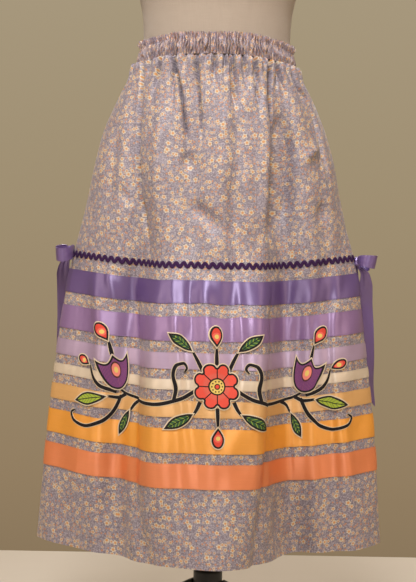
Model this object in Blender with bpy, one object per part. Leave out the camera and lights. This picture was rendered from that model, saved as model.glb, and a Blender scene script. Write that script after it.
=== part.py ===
"""Gathered ribbon skirt worn on a limbless dress form.

Metres, +Z up, the front faces -Y, the floor is z = 0 and the pole stands on
x = y = 0. Every sewn or cast piece is one closed solid under its own name.
"""
import math

import bpy
import numpy as np

# ------------------------------------------------------------ named sizes
GAP = 0.0003             # air between neighbouring pieces
SEAM_SHIFT = 0.0002      # each panel stops this short of the side seam
WALL = 0.0015            # printed cotton
RIBBON_THICK = 0.0010
PANEL_LENGTH = 0.808     # casing seam to hem edge, along the cloth
SPRAY_WIDTH = 0.68       # front panel, seam to seam, where the flowers lie
SEAM_Z = 0.9992          # height of the casing seam
COLUMNS = 28             # facets across one panel, a gather on every second
GATHER_DEPTH = 0.0042    # stand of a gather at the casing seam
GATHER_FADE = 0.055      # drop over which the gathers die away
HEIGHT_BLUR = 8          # drape columns over which the cloth shares its fall

RICKRACK_DROP = 0.340
RICKRACK_SWING = 0.0027  # wave of the braid's middle
RICKRACK_HALF = 0.0028   # half of the braid, measured up and down
RICKRACK_THICK = 0.0014
RICKRACK_GAP = 0.0005    # the braid bridges the small twist inside a facet
RICKRACK_BAND = 0.0062   # half height of the row of facets under the braid
HALF_WAVES = 100         # of the braid, along one panel

CASING_COLUMNS = 160     # two for each of 80 gathers
FORM_COLUMNS = 32
FORM_CLEAR = 0.0004      # casing lining to form

POLE_RADIUS = 0.0108
HUB_RADIUS = 0.024
HUB_LOW, HUB_HIGH = 0.112, 0.165
LEG_TURNS = (-105.0, -15.0, 75.0, 165.0)

APPLIQUE_GAP = 0.0006    # over the ribbons, for the same twist
APPLIQUE_THICK = 0.0010

BOW_WIDTH = 0.022
BOW_THICK = 0.0010
KNOT = (0.0062, 0.0068, 0.0080)   # half sizes out, along, up
TAIL_NOTCH = 0.010
LOOP_SWEEP = 0.996 * math.pi / 4   # half angle of the teardrop at its neck
LOOP_BELLY = 1.6                  # a loop is this much fatter than the plain curve
LOOP_RISE = 0.004                 # a loop leaves the knot above its middle


def rows(columns, *values):
    """Turn short value rows into records with named columns."""
    names = columns.split()
    return [dict(zip(names, row)) for row in values]


# Worn form by drop below the casing seam: half width, depth in front and
# behind, how far the front and back lobes stand out, side seam ahead of the
# x axis, and the share of length taken up by puckers in front and at the sides.
SECTIONS = rows(
    "drop half_width front back front_lobe back_lobe seam_forward take_front take_side",
    (0.000, 0.1290, 0.0970, 0.1000, 0.000, 0.000, 0.000, 0.005, 0.022),
    (0.025, 0.1410, 0.1015, 0.1120, 0.000, 0.000, 0.000, 0.005, 0.022),
    (0.050, 0.1545, 0.1045, 0.1220, 0.001, 0.001, 0.000, 0.005, 0.022),
    (0.094, 0.1710, 0.1060, 0.1320, 0.003, 0.003, 0.001, 0.008, 0.022),
    (0.173, 0.1950, 0.1060, 0.1390, 0.009, 0.009, 0.003, 0.010, 0.022),
    (0.265, 0.2130, 0.1030, 0.1360, 0.019, 0.020, 0.006, 0.010, 0.022),
    (0.340, 0.2300, 0.1000, 0.1290, 0.032, 0.030, 0.010, 0.008, 0.010),
    (0.400, 0.2410, 0.0990, 0.1240, 0.051, 0.037, 0.013, 0.008, 0.004),
    (0.450, 0.2480, 0.0990, 0.1200, 0.065, 0.042, 0.016, 0.006, 0.004),
    (0.560, 0.2610, 0.0970, 0.1120, 0.076, 0.054, 0.022, 0.006, 0.004),
    (0.680, 0.2720, 0.0960, 0.1100, 0.080, 0.066, 0.028, 0.008, 0.004),
    (0.808, 0.2815, 0.1010, 0.1160, 0.096, 0.080, 0.034, 0.010, 0.004),
)

# Where each fold runs, as a share of the half width, at these drops.
FOLD_DROPS = (0.0, 0.165, 0.34, 0.66, 0.808)
LOBES = rows(
    "panel left left_soft right right_soft",
    ("front", (-0.86, -0.63, -0.44, -0.46, -0.42), (0.10, 0.09, 0.07, 0.12, 0.18),
     (0.56, 0.46, 0.40, 0.34, 0.30), (0.07, 0.05, 0.045, 0.07, 0.10)),
    ("back", (-0.60, -0.52, -0.42, -0.40, -0.42), (0.10, 0.08, 0.07, 0.09, 0.10),
     (0.66, 0.60, 0.50, 0.47, 0.45), (0.10, 0.08, 0.06, 0.08, 0.10)),
)
FOLDS = rows(
    "panel name place stand width",
    ("front", "left crease", (-0.90, -0.66, -0.50, -0.50, -0.47),
     (-0.004, -0.010, -0.012, -0.014, -0.010), 0.085),
    ("front", "left side lobe", (-0.95, -0.86, -0.72, -0.68, -0.68),
     (0.0, 0.002, 0.006, 0.010, 0.010), 0.13),
    ("front", "right hollow", (0.66, 0.55, 0.49, 0.48, 0.50),
     (-0.002, -0.013, -0.014, -0.022, -0.036), 0.11),
    ("front", "right side lobe", (0.80, 0.76, 0.66, 0.63, 0.66),
     (0.0, 0.004, 0.004, 0.006, 0.004), 0.09),
    ("front", "right dip", (0.88, 0.86, 0.78, 0.72, 0.72),
     (0.0, -0.003, -0.004, -0.008, -0.010), 0.06),
    ("front", "right edge lobe", (0.96, 0.94, 0.90, 0.84, 0.84),
     (0.0, 0.001, 0.004, 0.008, 0.010), 0.09),
    ("front", "lobe dip left", (-0.30, -0.20, -0.12, -0.16, -0.18),
     (-0.001, -0.006, -0.005, -0.005, -0.004), 0.08),
    ("front", "lobe crest", (0.02, 0.02, 0.02, 0.02, 0.02),
     (0.000, 0.003, 0.003, 0.004, 0.006), 0.12),
    ("front", "lobe dip right", (0.22, 0.16, 0.15, 0.18, 0.18),
     (-0.001, -0.005, -0.005, -0.004, -0.003), 0.07),
    ("back", "left hollow", (-0.72, -0.64, -0.53, -0.50, -0.52),
     (-0.002, -0.010, -0.014, -0.018, -0.024), 0.10),
    ("back", "left side lobe", (-0.90, -0.84, -0.76, -0.72, -0.72),
     (0.0, 0.003, 0.006, 0.012, 0.024), 0.11),
    ("back", "right hollow", (0.78, 0.70, 0.62, 0.58, 0.57),
     (-0.002, -0.008, -0.012, -0.016, -0.020), 0.09),
    ("back", "right side lobe", (0.94, 0.88, 0.82, 0.78, 0.78),
     (0.0, 0.002, 0.006, 0.012, 0.020), 0.10),
    ("back", "lobe dip", (0.05, 0.05, 0.02, 0.04, 0.06),
     (-0.002, -0.006, -0.010, -0.014, -0.016), 0.12),
)

RIBBONS = rows(
    "name top width colour",
    ("purple", 0.3650, 0.0380, (0.127, 0.074, 0.205)),
    ("lavender", 0.4240, 0.0380, (0.283, 0.156, 0.305)),
    ("lilac", 0.4796, 0.0254, (0.376, 0.262, 0.319)),
    ("cream", 0.5205, 0.0160, (0.515, 0.418, 0.283)),
    ("tan", 0.5531, 0.0254, (0.578, 0.352, 0.141)),
    ("gold", 0.5955, 0.0380, (0.645, 0.262, 0.045)),
    ("coral", 0.6500, 0.0380, (0.645, 0.188, 0.070)),
)
PANEL_DROPS = sorted(
    [0.0, 0.018, 0.045, 0.09, 0.15, 0.22, 0.285, 0.745, PANEL_LENGTH,
     RICKRACK_DROP - RICKRACK_BAND, RICKRACK_DROP + RICKRACK_BAND]
    + [r["top"] for r in RIBBONS] + [r["top"] + r["width"] for r in RIBBONS])

# Dress form by height.
FORM = rows(
    "z half_width front back",
    (0.7350, 0.1400, 0.0880, 0.1020), (0.7450, 0.1460, 0.0930, 0.1080),
    (0.8000, 0.1550, 0.0890, 0.1160), (0.8500, 0.1560, 0.0900, 0.1190),
    (0.9000, 0.1480, 0.0900, 0.1140), (0.9500, 0.1355, 0.0905, 0.1050),
    (0.9800, 0.1280, 0.0915, 0.0990), (1.0000, 0.1250, 0.0925, 0.0955),
    (1.0345, 0.1210, 0.0905, 0.0930), (1.0700, 0.1225, 0.0910, 0.0925),
    (1.1200, 0.1330, 0.0990, 0.0970), (1.1800, 0.1460, 0.1120, 0.1030),
    (1.2300, 0.1520, 0.1220, 0.1070), (1.2800, 0.1520, 0.1180, 0.1090),
    (1.3300, 0.1540, 0.1000, 0.1080), (1.3700, 0.1600, 0.0860, 0.1000),
    (1.3950, 0.1530, 0.0760, 0.0890), (1.4180, 0.1180, 0.0670, 0.0780),
    (1.4400, 0.0680, 0.0560, 0.0650), (1.4700, 0.0530, 0.0500, 0.0560),
    (1.5050, 0.0500, 0.0480, 0.0520),
)
# Casing by height over the seam: stand off the form, stand of its gathers.
CASING = rows(
    "rise stand gather",
    (0.0008, 0.0030, 0.0010), (0.0120, 0.0040, 0.0014),
    (0.0245, 0.0026, 0.0008), (0.0345, 0.0040, 0.0018),
)
CAP = rows(
    "z radius",
    (1.5053, 0.0430), (1.5110, 0.0445), (1.5160, 0.0400), (1.5190, 0.0150),
    (1.5270, 0.0080), (1.5350, 0.0130), (1.5430, 0.0100),
)
# One cast leg by distance from the pole: underside, top, half breadth.
LEG = rows(
    "reach low high half",
    (0.0241, 0.116, 0.144, 0.0090), (0.045, 0.108, 0.134, 0.0085),
    (0.080, 0.086, 0.110, 0.0080), (0.120, 0.054, 0.076, 0.0078),
    (0.157, 0.026, 0.044, 0.0078), (0.188, 0.008, 0.023, 0.0090),
    (0.205, 0.000, 0.015, 0.0120), (0.222, 0.000, 0.010, 0.0130),
    (0.232, 0.000, 0.007, 0.0090),
)

# Bows: the knot from the side seam, then loops and tails from the knot.
KNOTS = rows(
    "side sign out ahead up",
    ("left", -1.0, -0.0001, 0.006, 0.005), ("right", 1.0, 0.0008, 0.006, -0.006),
)
LOOPS = rows(
    "side name out ahead start reach droop fat",
    ("left", "front", 0.20, 0.98, 0.0084, 0.048, 0.012, 0.46),
    ("left", "back", 0.30, -0.95, 0.0084, 0.046, 0.010, 0.46),
    ("right", "front", 0.80, 0.60, 0.0080, 0.034, 0.004, 0.62),
    ("right", "back", 0.50, -0.87, 0.0082, 0.040, 0.008, 0.50),
)
# Tail stations: drop below the knot, out and ahead from it, turn of the width.
TAILS = rows(
    "side name stations",
    ("left", "long", ((0.0075, 0.0042, 0.002, 10), (0.030, 0.0121, -0.012, 8),
                      (0.060, 0.0140, -0.034, 4), (0.110, 0.0166, -0.064, 4),
                      (0.170, 0.0205, -0.090, 6), (0.225, 0.0228, -0.106, 10),
                      (0.268, 0.0245, -0.115, 12))),
    ("left", "short", ((0.0075, 0.0006, -0.0055, 85), (0.035, 0.0073, -0.030, 80),
                       (0.080, 0.0093, -0.068, 70), (0.140, 0.0083, -0.100, 50),
                       (0.195, 0.0073, -0.122, 40), (0.235, 0.0063, -0.133, 36))),
    ("right", "long", ((0.0075, 0.0044, 0.002, 10), (0.020, 0.0138, 0.000, 0),
                       (0.045, 0.0168, -0.010, 0), (0.074, 0.0188, -0.020, 0),
                       (0.112, 0.0230, -0.024, -18), (0.158, 0.0275, -0.028, -44),
                       (0.215, 0.0315, -0.032, -58), (0.242, 0.0318, -0.034, -50))),
    ("right", "short", ((0.0075, 0.0004, -0.0055, 85), (0.040, 0.0054, -0.026, 84),
                        (0.080, 0.0133, -0.044, 84), (0.120, 0.0198, -0.054, 80),
                        (0.160, 0.0248, -0.062, 74), (0.190, 0.0273, -0.068, 70))),
)

# Generic flower spray on the front: across and down from the panel's middle.
LEAF = ((-1.0, 0.0), (-0.45, -0.75), (0.25, -0.95), (1.0, 0.0),
        (0.35, 0.95), (-0.45, 0.70))
BUD = ((-1.0, 0.0), (-0.1, -0.85), (0.7, -0.65), (1.0, 0.0), (0.7, 0.65),
       (-0.1, 0.85))
APPLIQUE = rows(
    "name kind across down size_across size_down turn colour",
    ("rosette", "rosette", 0.000, 0.530, 0.038, 0.0380, 0, (0.60, 0.06, 0.05)),
    ("tulip_left", "tulip", -0.205, 0.520, 0.028, 0.0310, -18, (0.28, 0.05, 0.20)),
    ("tulip_right", "tulip", 0.205, 0.520, 0.028, 0.0310, 18, (0.28, 0.05, 0.20)),
    ("leaf_1", "leaf", -0.060, 0.585, 0.029, 0.0120, 152, (0.05, 0.16, 0.05)),
    ("leaf_2", "leaf", 0.060, 0.585, 0.029, 0.0120, 28, (0.05, 0.16, 0.05)),
    ("leaf_3", "leaf", -0.246, 0.567, 0.032, 0.0140, 165, (0.30, 0.42, 0.06)),
    ("leaf_4", "leaf", 0.246, 0.567, 0.032, 0.0140, 15, (0.30, 0.42, 0.06)),
    ("leaf_5", "leaf", -0.056, 0.464, 0.027, 0.0110, 215, (0.05, 0.16, 0.05)),
    ("leaf_6", "leaf", 0.056, 0.464, 0.027, 0.0110, -35, (0.05, 0.16, 0.05)),
    ("leaf_7", "leaf", -0.184, 0.598, 0.026, 0.0110, 115, (0.05, 0.16, 0.05)),
    ("leaf_8", "leaf", 0.184, 0.598, 0.026, 0.0110, 65, (0.05, 0.16, 0.05)),
    ("bud_1", "bud", -0.230, 0.458, 0.019, 0.0145, 235, (0.62, 0.13, 0.06)),
    ("bud_2", "bud", 0.230, 0.458, 0.019, 0.0145, -55, (0.62, 0.13, 0.06)),
    ("bud_3", "bud", 0.000, 0.454, 0.019, 0.0150, -90, (0.62, 0.13, 0.06)),
    ("bud_4", "bud", 0.000, 0.609, 0.019, 0.0150, 90, (0.62, 0.13, 0.06)),
    ("bud_5", "bud", -0.262, 0.508, 0.016, 0.0120, 200, (0.62, 0.13, 0.06)),
    ("bud_6", "bud", 0.262, 0.508, 0.016, 0.0120, -20, (0.62, 0.13, 0.06)),
)


# ------------------------------------------------------------ curves
def smooth(xs, ys, x):
    """Monotone cubic through (xs, ys), evaluated at x."""
    xs, ys = np.asarray(xs, float), np.asarray(ys, float)
    step = np.diff(xs)
    rise = np.diff(ys) / step
    slope = np.zeros_like(ys)
    slope[0], slope[-1] = rise[0], rise[-1]
    for i in range(1, len(xs) - 1):
        if rise[i - 1] * rise[i] > 0:
            slope[i] = 2 * rise[i - 1] * rise[i] / (rise[i - 1] + rise[i])
    x = np.clip(x, xs[0], xs[-1])
    k = np.clip(np.searchsorted(xs, x) - 1, 0, len(step) - 1)
    t = (x - xs[k]) / step[k]
    return (ys[k] * (1 + 2 * t) * (1 - t) ** 2 + slope[k] * step[k] * t * (1 - t) ** 2
            + ys[k + 1] * t * t * (3 - 2 * t) + slope[k + 1] * step[k] * t * t * (t - 1))


def section_at(drop):
    """The worn section's named sizes at one drop."""
    drops = [r["drop"] for r in SECTIONS]
    return {key: float(smooth(drops, [r[key] for r in SECTIONS], drop))
            for key in SECTIONS[0] if key != "drop"}


def ease(x, edge, soft):
    return 0.5 * (1 + np.tanh((x - edge) / soft))


def panel_curve(drop, panel, count=1441):
    """Plan curve of one panel at one drop, from seam to seam, unwound evenly."""
    size = section_at(drop)
    angle = np.linspace(-math.pi / 2, math.pi / 2, count)
    across = np.sin(angle)
    seam = size["seam_forward"]
    facing = 1.0 if panel == "front" else -1.0
    depth = size[panel] - facing * seam
    out = depth * np.cos(angle)
    window = 1 - np.abs(across) ** 14
    for lobe in (r for r in LOBES if r["panel"] == panel):
        edges = {k: float(smooth(FOLD_DROPS, lobe[k], drop))
                 for k in ("left", "left_soft", "right", "right_soft")}
        out += (size[panel + "_lobe"] * window
                * ease(across, edges["left"], edges["left_soft"])
                * (1 - ease(across, edges["right"], edges["right_soft"])))
    for fold in (r for r in FOLDS if r["panel"] == panel):
        place = float(smooth(FOLD_DROPS, fold["place"], drop))
        stand = float(smooth(FOLD_DROPS, fold["stand"], drop))
        out += stand * window * np.exp(-((across - place) / fold["width"]) ** 2)
    x, y = size["half_width"] * across, -facing * out - seam
    if panel == "back":
        x, y = x[::-1], y[::-1]
    run = np.concatenate([[0], np.cumsum(np.hypot(np.diff(x), np.diff(y)))])
    return x, y, run / run[-1]


def unwind(drop, shares):
    """Points of the whole ring at one drop: front shares, then back shares."""
    ring = []
    for panel in ("front", "back"):
        x, y, run = panel_curve(drop, panel)
        ring.append(np.stack([np.interp(shares, run, x), np.interp(shares, run, y)], 1))
    return np.concatenate(ring)


def even_out(values, reach):
    """Soften a closed ring of values."""
    kernel = np.exp(-0.5 * (np.arange(-3 * reach, 3 * reach + 1) / reach) ** 2)
    kernel /= kernel.sum()
    padded = np.concatenate([values[-3 * reach:], values, values[:3 * reach]])
    return np.convolve(padded, kernel, "valid")


class Drape:
    """Outer face of the cloth, by share round the ring and drop along it."""

    def __init__(self, columns=112, levels=102):
        shares = np.arange(columns) / columns
        self.columns = 2 * columns
        self.drops = np.linspace(0, PANEL_LENGTH, levels)
        plan = np.array([unwind(d, shares) for d in self.drops])
        height = np.zeros(plan.shape[:2])
        height[0] = SEAM_Z
        for j in range(1, levels):
            ds = self.drops[j] - self.drops[j - 1]
            sideways = np.hypot(*(plan[j] - plan[j - 1]).T)
            fall = np.sqrt(np.maximum(ds * ds - sideways ** 2, (0.6 * ds) ** 2))
            size = section_at(self.drops[j])
            sideness = (plan[j, :, 0] / size["half_width"]) ** 2
            take_up = size["take_front"] + sideness * (size["take_side"] - size["take_front"])
            height[j] = height[j - 1] - even_out(fall * (1 - take_up), HEIGHT_BLUR)
        self.points = np.dstack([plan, height])

    def at(self, share, drop):
        """Point at share (0 to 2, front then back) and drop."""
        u = (share * self.columns / 2) % self.columns
        i = int(math.floor(u)) % self.columns
        j = min(int(np.searchsorted(self.drops, drop, "right")) - 1, len(self.drops) - 2)
        fu = u - math.floor(u)
        fv = (drop - self.drops[j]) / (self.drops[j + 1] - self.drops[j])
        p, k = self.points, (i + 1) % self.columns
        return ((1 - fv) * ((1 - fu) * p[j, i] + fu * p[j, k])
                + fv * ((1 - fu) * p[j + 1, i] + fu * p[j + 1, k]))


def ring_normals(grid):
    """Mitred outward normals of a ring grid (rows, columns, 3)."""
    right = np.roll(grid, -1, 1) - grid
    down = np.empty_like(grid)
    down[:-1] = grid[1:] - grid[:-1]
    down[-1] = down[-2]
    face = np.cross(down, right)
    face /= np.linalg.norm(face, axis=2, keepdims=True)
    above = np.concatenate([face[:1], face[:-1]])
    total = face + np.roll(face, 1, 1) + above + np.roll(above, 1, 1)
    total[0, :, 2] = 0
    total /= np.linalg.norm(total, axis=2, keepdims=True)
    lean = sum((total * f).sum(2) for f in
               (face, np.roll(face, 1, 1), above, np.roll(above, 1, 1))) / 4
    return total / np.maximum(lean, 0.7)[..., None]


def cloth_grid(drape):
    """Facet corners of the whole skirt, gathers and all, and their normals."""
    plain = np.array([[drape.at(i / COLUMNS, d) for i in range(2 * COLUMNS)]
                      for d in PANEL_DROPS])
    normals = ring_normals(plain)
    for j, drop in enumerate(PANEL_DROPS):
        stand = GATHER_DEPTH * math.exp(-(drop / GATHER_FADE) ** 2)
        plain[j, 1::2] += stand * normals[j, 1::2]
    return plain, ring_normals(plain)


def panel_part(ring, panel):
    """The columns of one panel, both side seams included."""
    first = 0 if panel == "front" else COLUMNS
    picks = [(first + i) % (2 * COLUMNS) for i in range(COLUMNS + 1)]
    return ring[:, picks]


def layer(grid, normals, panel, off, top=0, bottom=None):
    """Panel grid moved out by off, stopped just short of its seams."""
    sheet = panel_part(grid + off * normals, panel)[top:bottom].copy()
    for end, inner in ((0, 1), (-1, -2)):
        along = sheet[:, inner] - sheet[:, end]
        along[:, 0] = 0
        along /= np.linalg.norm(along, axis=1, keepdims=True)
        sheet[:, end] += SEAM_SHIFT * along
    return sheet


# ------------------------------------------------------------ solids
def shade(name, colour, rough=0.7, metal=0.0):
    material = bpy.data.materials.new(name)
    material.use_nodes = True
    node = material.node_tree.nodes["Principled BSDF"]
    node.inputs["Base Color"].default_value = (*colour, 1)
    node.inputs["Roughness"].default_value = rough
    node.inputs["Metallic"].default_value = metal
    material.diffuse_color = (*colour, 1)
    return material


def solid(name, points, faces, colour, rough=0.7, metal=0.0):
    """One closed object with its faces turned outward."""
    mesh = bpy.data.meshes.new(name)
    points = [tuple(float(c) for c in p) for p in points]
    triangles = [t for f in faces for t in
                 ([f] if len(f) == 3 else [(f[0], f[1], f[2]), (f[0], f[2], f[3])])]
    p = np.array(points)
    t = np.array(triangles)
    volume = np.einsum("ij,ij->i", p[t[:, 0]], np.cross(p[t[:, 1]], p[t[:, 2]])).sum()
    if volume < 0:
        triangles = [f[::-1] for f in triangles]
    mesh.from_pydata(points, [], triangles)
    mesh.update()
    mesh.materials.append(shade(name, colour, rough, metal))
    made = bpy.data.objects.new(name, mesh)
    bpy.context.scene.collection.objects.link(made)
    return made


def slab(name, inner, outer, colour, rough=0.7):
    """Closed wall between two grids of the same size."""
    high, wide = inner.shape[:2]
    points = np.concatenate([inner.reshape(-1, 3), outer.reshape(-1, 3)])
    half = high * wide

    def spot(j, i, side):
        return side * half + j * wide + i

    faces = []
    for j in range(high - 1):
        for i in range(wide - 1):
            faces.append((spot(j, i, 1), spot(j + 1, i, 1),
                          spot(j + 1, i + 1, 1), spot(j, i + 1, 1)))
            faces.append((spot(j, i, 0), spot(j, i + 1, 0),
                          spot(j + 1, i + 1, 0), spot(j + 1, i, 0)))
    border = ([(0, i) for i in range(wide)] + [(j, wide - 1) for j in range(1, high)]
              + [(high - 1, i) for i in range(wide - 2, -1, -1)]
              + [(j, 0) for j in range(high - 2, 0, -1)])
    for a, b in zip(border, border[1:] + border[:1]):
        faces.append((spot(*a, 1), spot(*b, 1), spot(*b, 0), spot(*a, 0)))
    return solid(name, points, faces, colour, rough)


def zip_rings(start_a, count_a, start_b, count_b):
    """Triangles between two closed rings that start at the same angle."""
    faces, a, b = [], 0, 0
    while a < count_a or b < count_b:
        if b >= count_b or (a < count_a and (2 * a + 1) * count_b <= (2 * b + 1) * count_a):
            faces.append((start_a + a % count_a, start_a + (a + 1) % count_a, start_b + b % count_b))
            a += 1
        else:
            faces.append((start_a + a % count_a, start_b + (b + 1) % count_b, start_b + b % count_b))
            b += 1
    return faces


def loft(name, rings, colour, rough=0.7, metal=0.0, tube=False):
    """Body through closed rings: capped at its ends, or a tube back on itself."""
    starts = np.cumsum([0] + [len(r) for r in rings])
    points = [p for ring in rings for p in ring]
    faces = []
    pairs = len(rings) if tube else len(rings) - 1
    for k in range(pairs):
        m = (k + 1) % len(rings)
        faces += zip_rings(int(starts[k]), len(rings[k]), int(starts[m]), len(rings[m]))
    if not tube:
        for k, turn in ((0, -1), (len(rings) - 1, 1)):
            hub = len(points)
            points.append(np.mean(rings[k], 0))
            n = len(rings[k])
            for i in range(n):
                f = (int(starts[k]) + i, int(starts[k]) + (i + 1) % n, hub)
                faces.append(f[::turn])
    return solid(name, points, faces, colour, rough, metal)


# ------------------------------------------------------------ cloth pieces
def build_panels(grid, normals):
    for panel in ("front", "back"):
        slab("skirt_" + panel, layer(grid, normals, panel, -WALL),
             layer(grid, normals, panel, 0.0), (0.32, 0.25, 0.30), 0.85)


def build_ribbons(grid, normals):
    for ribbon in RIBBONS:
        top = PANEL_DROPS.index(ribbon["top"])
        for panel in ("front", "back"):
            low = layer(grid, normals, panel, GAP, top, top + 2)
            high = layer(grid, normals, panel, GAP + RIBBON_THICK, top, top + 2)
            slab(f"ribbon_{ribbon['name']}_{panel}", low, high, ribbon["colour"], 0.35)


def on_facets(grid, column, drop):
    """Point on a grid's facets by column number and drop."""
    j = min(max(int(np.searchsorted(PANEL_DROPS, drop, "right")) - 1, 0), len(PANEL_DROPS) - 2)
    i = int(math.floor(column + 1e-9))
    fu = column - i
    fv = (drop - PANEL_DROPS[j]) / (PANEL_DROPS[j + 1] - PANEL_DROPS[j])
    wide = grid.shape[1]
    a, b = grid[j, i % wide], grid[j, (i + 1) % wide]
    c, d = grid[j + 1, i % wide], grid[j + 1, (i + 1) % wide]
    if fv >= fu:
        return a + fv * (c - a) + fu * (d - c)
    return a + fu * (b - a) + fv * (d - b)


def build_rickrack(grid, normals):
    """Zigzag braid, with a ring at each of its turns and on each column."""
    under = grid + RICKRACK_GAP * normals
    over = grid + (RICKRACK_GAP + RICKRACK_THICK) * normals
    turns = {k * COLUMNS / HALF_WAVES for k in range(HALF_WAVES + 1)}
    stations = sorted(turns | {float(k) for k in range(COLUMNS + 1)})
    for panel in ("front", "back"):
        first = 0 if panel == "front" else COLUMNS
        rings = []
        for station in stations:
            column = first + station
            phase = (station * HALF_WAVES / COLUMNS) % 2
            middle = RICKRACK_DROP + RICKRACK_SWING * (1 - 2 * abs(phase - 1))
            rings.append([on_facets(under, column, middle - RICKRACK_HALF),
                          on_facets(over, column, middle),
                          on_facets(under, column, middle + RICKRACK_HALF)])
        for end, inner in ((0, 1), (-1, -2)):
            along = rings[inner][1] - rings[end][1]
            along[0] = 0
            rings[end] = [p + SEAM_SHIFT * along / np.linalg.norm(along) for p in rings[end]]
        loft_open("rickrack_" + panel, rings, (0.045, 0.018, 0.075), 0.8)


def loft_open(name, rings, colour, rough=0.5, metal=0.0):
    """Body through rings of equal count, with flat ends."""
    n = len(rings[0])
    points = [p for ring in rings for p in ring]
    faces = [(k * n + i, k * n + (i + 1) % n, (k + 1) * n + (i + 1) % n, (k + 1) * n + i)
             for k in range(len(rings) - 1) for i in range(n)]
    last = (len(rings) - 1) * n
    for i in range(n - 2):
        faces.append((1, (i + 3) % n, i + 2))
        faces.append((last + 1, last + i + 2, last + (i + 3) % n))
    return solid(name, points, faces, colour, rough, metal)


def form_size(z):
    heights = [r["z"] for r in FORM]
    return tuple(float(np.interp(z, heights, [r[k] for r in FORM]))
                 for k in ("half_width", "front", "back"))


def form_ring(z, off, count, waves=0.0):
    """Ring round the form at one height, moved out, with alternate gathers."""
    half, front, back = form_size(z)
    ring = []
    for i in range(count):
        a = 2 * math.pi * i / count
        depth = front if math.cos(a) >= 0 else back
        stand = off + (waves if i % 2 else -waves)
        nx, ny = math.sin(a) / half, -math.cos(a) / depth
        size = math.hypot(nx, ny)
        ring.append((half * math.sin(a) + stand * nx / size,
                     -depth * math.cos(a) + stand * ny / size, z))
    return ring


def build_casing():
    """Gathered band: waves outside, plain inside, a frill on top."""
    outer = [form_ring(SEAM_Z + r["rise"], r["stand"], CASING_COLUMNS, r["gather"])
             for r in CASING]
    heights = (CASING[-1], CASING[0])
    inner = [form_ring(SEAM_Z + r["rise"], FORM_CLEAR, CASING_COLUMNS // 2) for r in heights]
    loft("waist_casing", outer + inner, (0.32, 0.25, 0.30), 0.85, tube=True)


# ------------------------------------------------------------ bows
def strip(name, centres, across, widths, thick, colour, notch=0.0):
    """Ribbon along a path: three points across, both faces, flat ends."""
    centres = np.array(centres, float)
    along = np.gradient(centres, axis=0)
    rings = []
    for k, (c, w, half) in enumerate(zip(centres, across, widths)):
        w = np.array(w, float)
        w /= np.linalg.norm(w)
        up = np.cross(along[k], w)
        up *= thick / 2 / np.linalg.norm(up)
        cut = notch * along[k] / np.linalg.norm(along[k]) if k == len(centres) - 1 else 0
        left, right = c - half * w, c + half * w
        rings.append([left - up, c - up - cut, right - up, right + up, c + up - cut, left + up])
    return loft_open(name, rings, colour, 0.35)


def build_bow(drape, knot):
    seam = drape.at(0.0 if knot["sign"] < 0 else 1.0, RICKRACK_DROP)
    out = np.array([knot["sign"], 0, 0])
    ahead, up = np.array([0, -1.0, 0]), np.array([0, 0, 1.0])
    centre = (seam + (knot["out"] + KNOT[0]) * out + knot["ahead"] * ahead + knot["up"] * up)
    colour = (0.156, 0.091, 0.262)
    side = knot["side"]
    build_knot(f"bow_{side}_knot", centre, out, ahead, up, colour)
    for loop in (r for r in LOOPS if r["side"] == side):
        build_loop(f"bow_{side}_loop_{loop['name']}", centre, out, ahead, up, loop, colour)
    for tail in (r for r in TAILS if r["side"] == side):
        stations = np.array(tail["stations"], float)
        drops = np.linspace(stations[0, 0], stations[-1, 0], 11)
        path = [centre + smooth(stations[:, 0], stations[:, 1], d) * out
                + smooth(stations[:, 0], stations[:, 2], d) * ahead - d * up for d in drops]
        turns = [math.radians(float(smooth(stations[:, 0], stations[:, 3], d))) for d in drops]
        sides = [math.cos(t) * out + math.sin(t) * ahead for t in turns]
        halves = [BOW_WIDTH / 2 * min(1.0, 0.42 + 0.58 * (d - drops[0]) / 0.03) for d in drops]
        strip(f"bow_{side}_tail_{tail['name']}", path, sides, halves, BOW_THICK, colour, TAIL_NOTCH)


def build_knot(name, centre, out, ahead, up, colour):
    rings = []
    for lift in (-0.86, -0.45, 0.0, 0.45, 0.86):
        wide = (1 - abs(lift) ** 2.6) ** (1 / 2.6)
        ring = []
        for k in range(8):
            a = 2 * math.pi * (k + 0.5) / 8
            ring.append(centre + KNOT[0] * wide * math.cos(a) * out
                        + KNOT[1] * wide * math.sin(a) * ahead + KNOT[2] * lift * up)
        rings.append(ring)
    loft(name, rings, colour, 0.35)


def build_loop(name, centre, out, ahead, up, loop, colour):
    """Teardrop loop with its width upright, pinched where it meets the knot."""
    way = loop["out"] * out + loop["ahead"] * ahead
    way /= np.linalg.norm(way)
    side = np.cross(up, way)
    path, halves, sides = [], [], []
    for t in np.linspace(-1, 1, 15):
        swing = t * LOOP_SWEEP
        r = loop["reach"] * math.sqrt(max(math.cos(2 * swing), 0.0))
        r = max(r, loop["start"])
        far = r / loop["reach"]
        path.append(centre + way * r * math.cos(swing)
                    + side * LOOP_BELLY * loop["fat"] * r * math.sin(swing)
                    + up * (LOOP_RISE - loop["droop"] * far ** 2))
        halves.append(BOW_WIDTH / 2 * (0.38 + 0.62 * far ** 0.7))
        sides.append(up + 0.25 * way * far)
    strip(name, path, sides, halves, BOW_THICK, colour)


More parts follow.
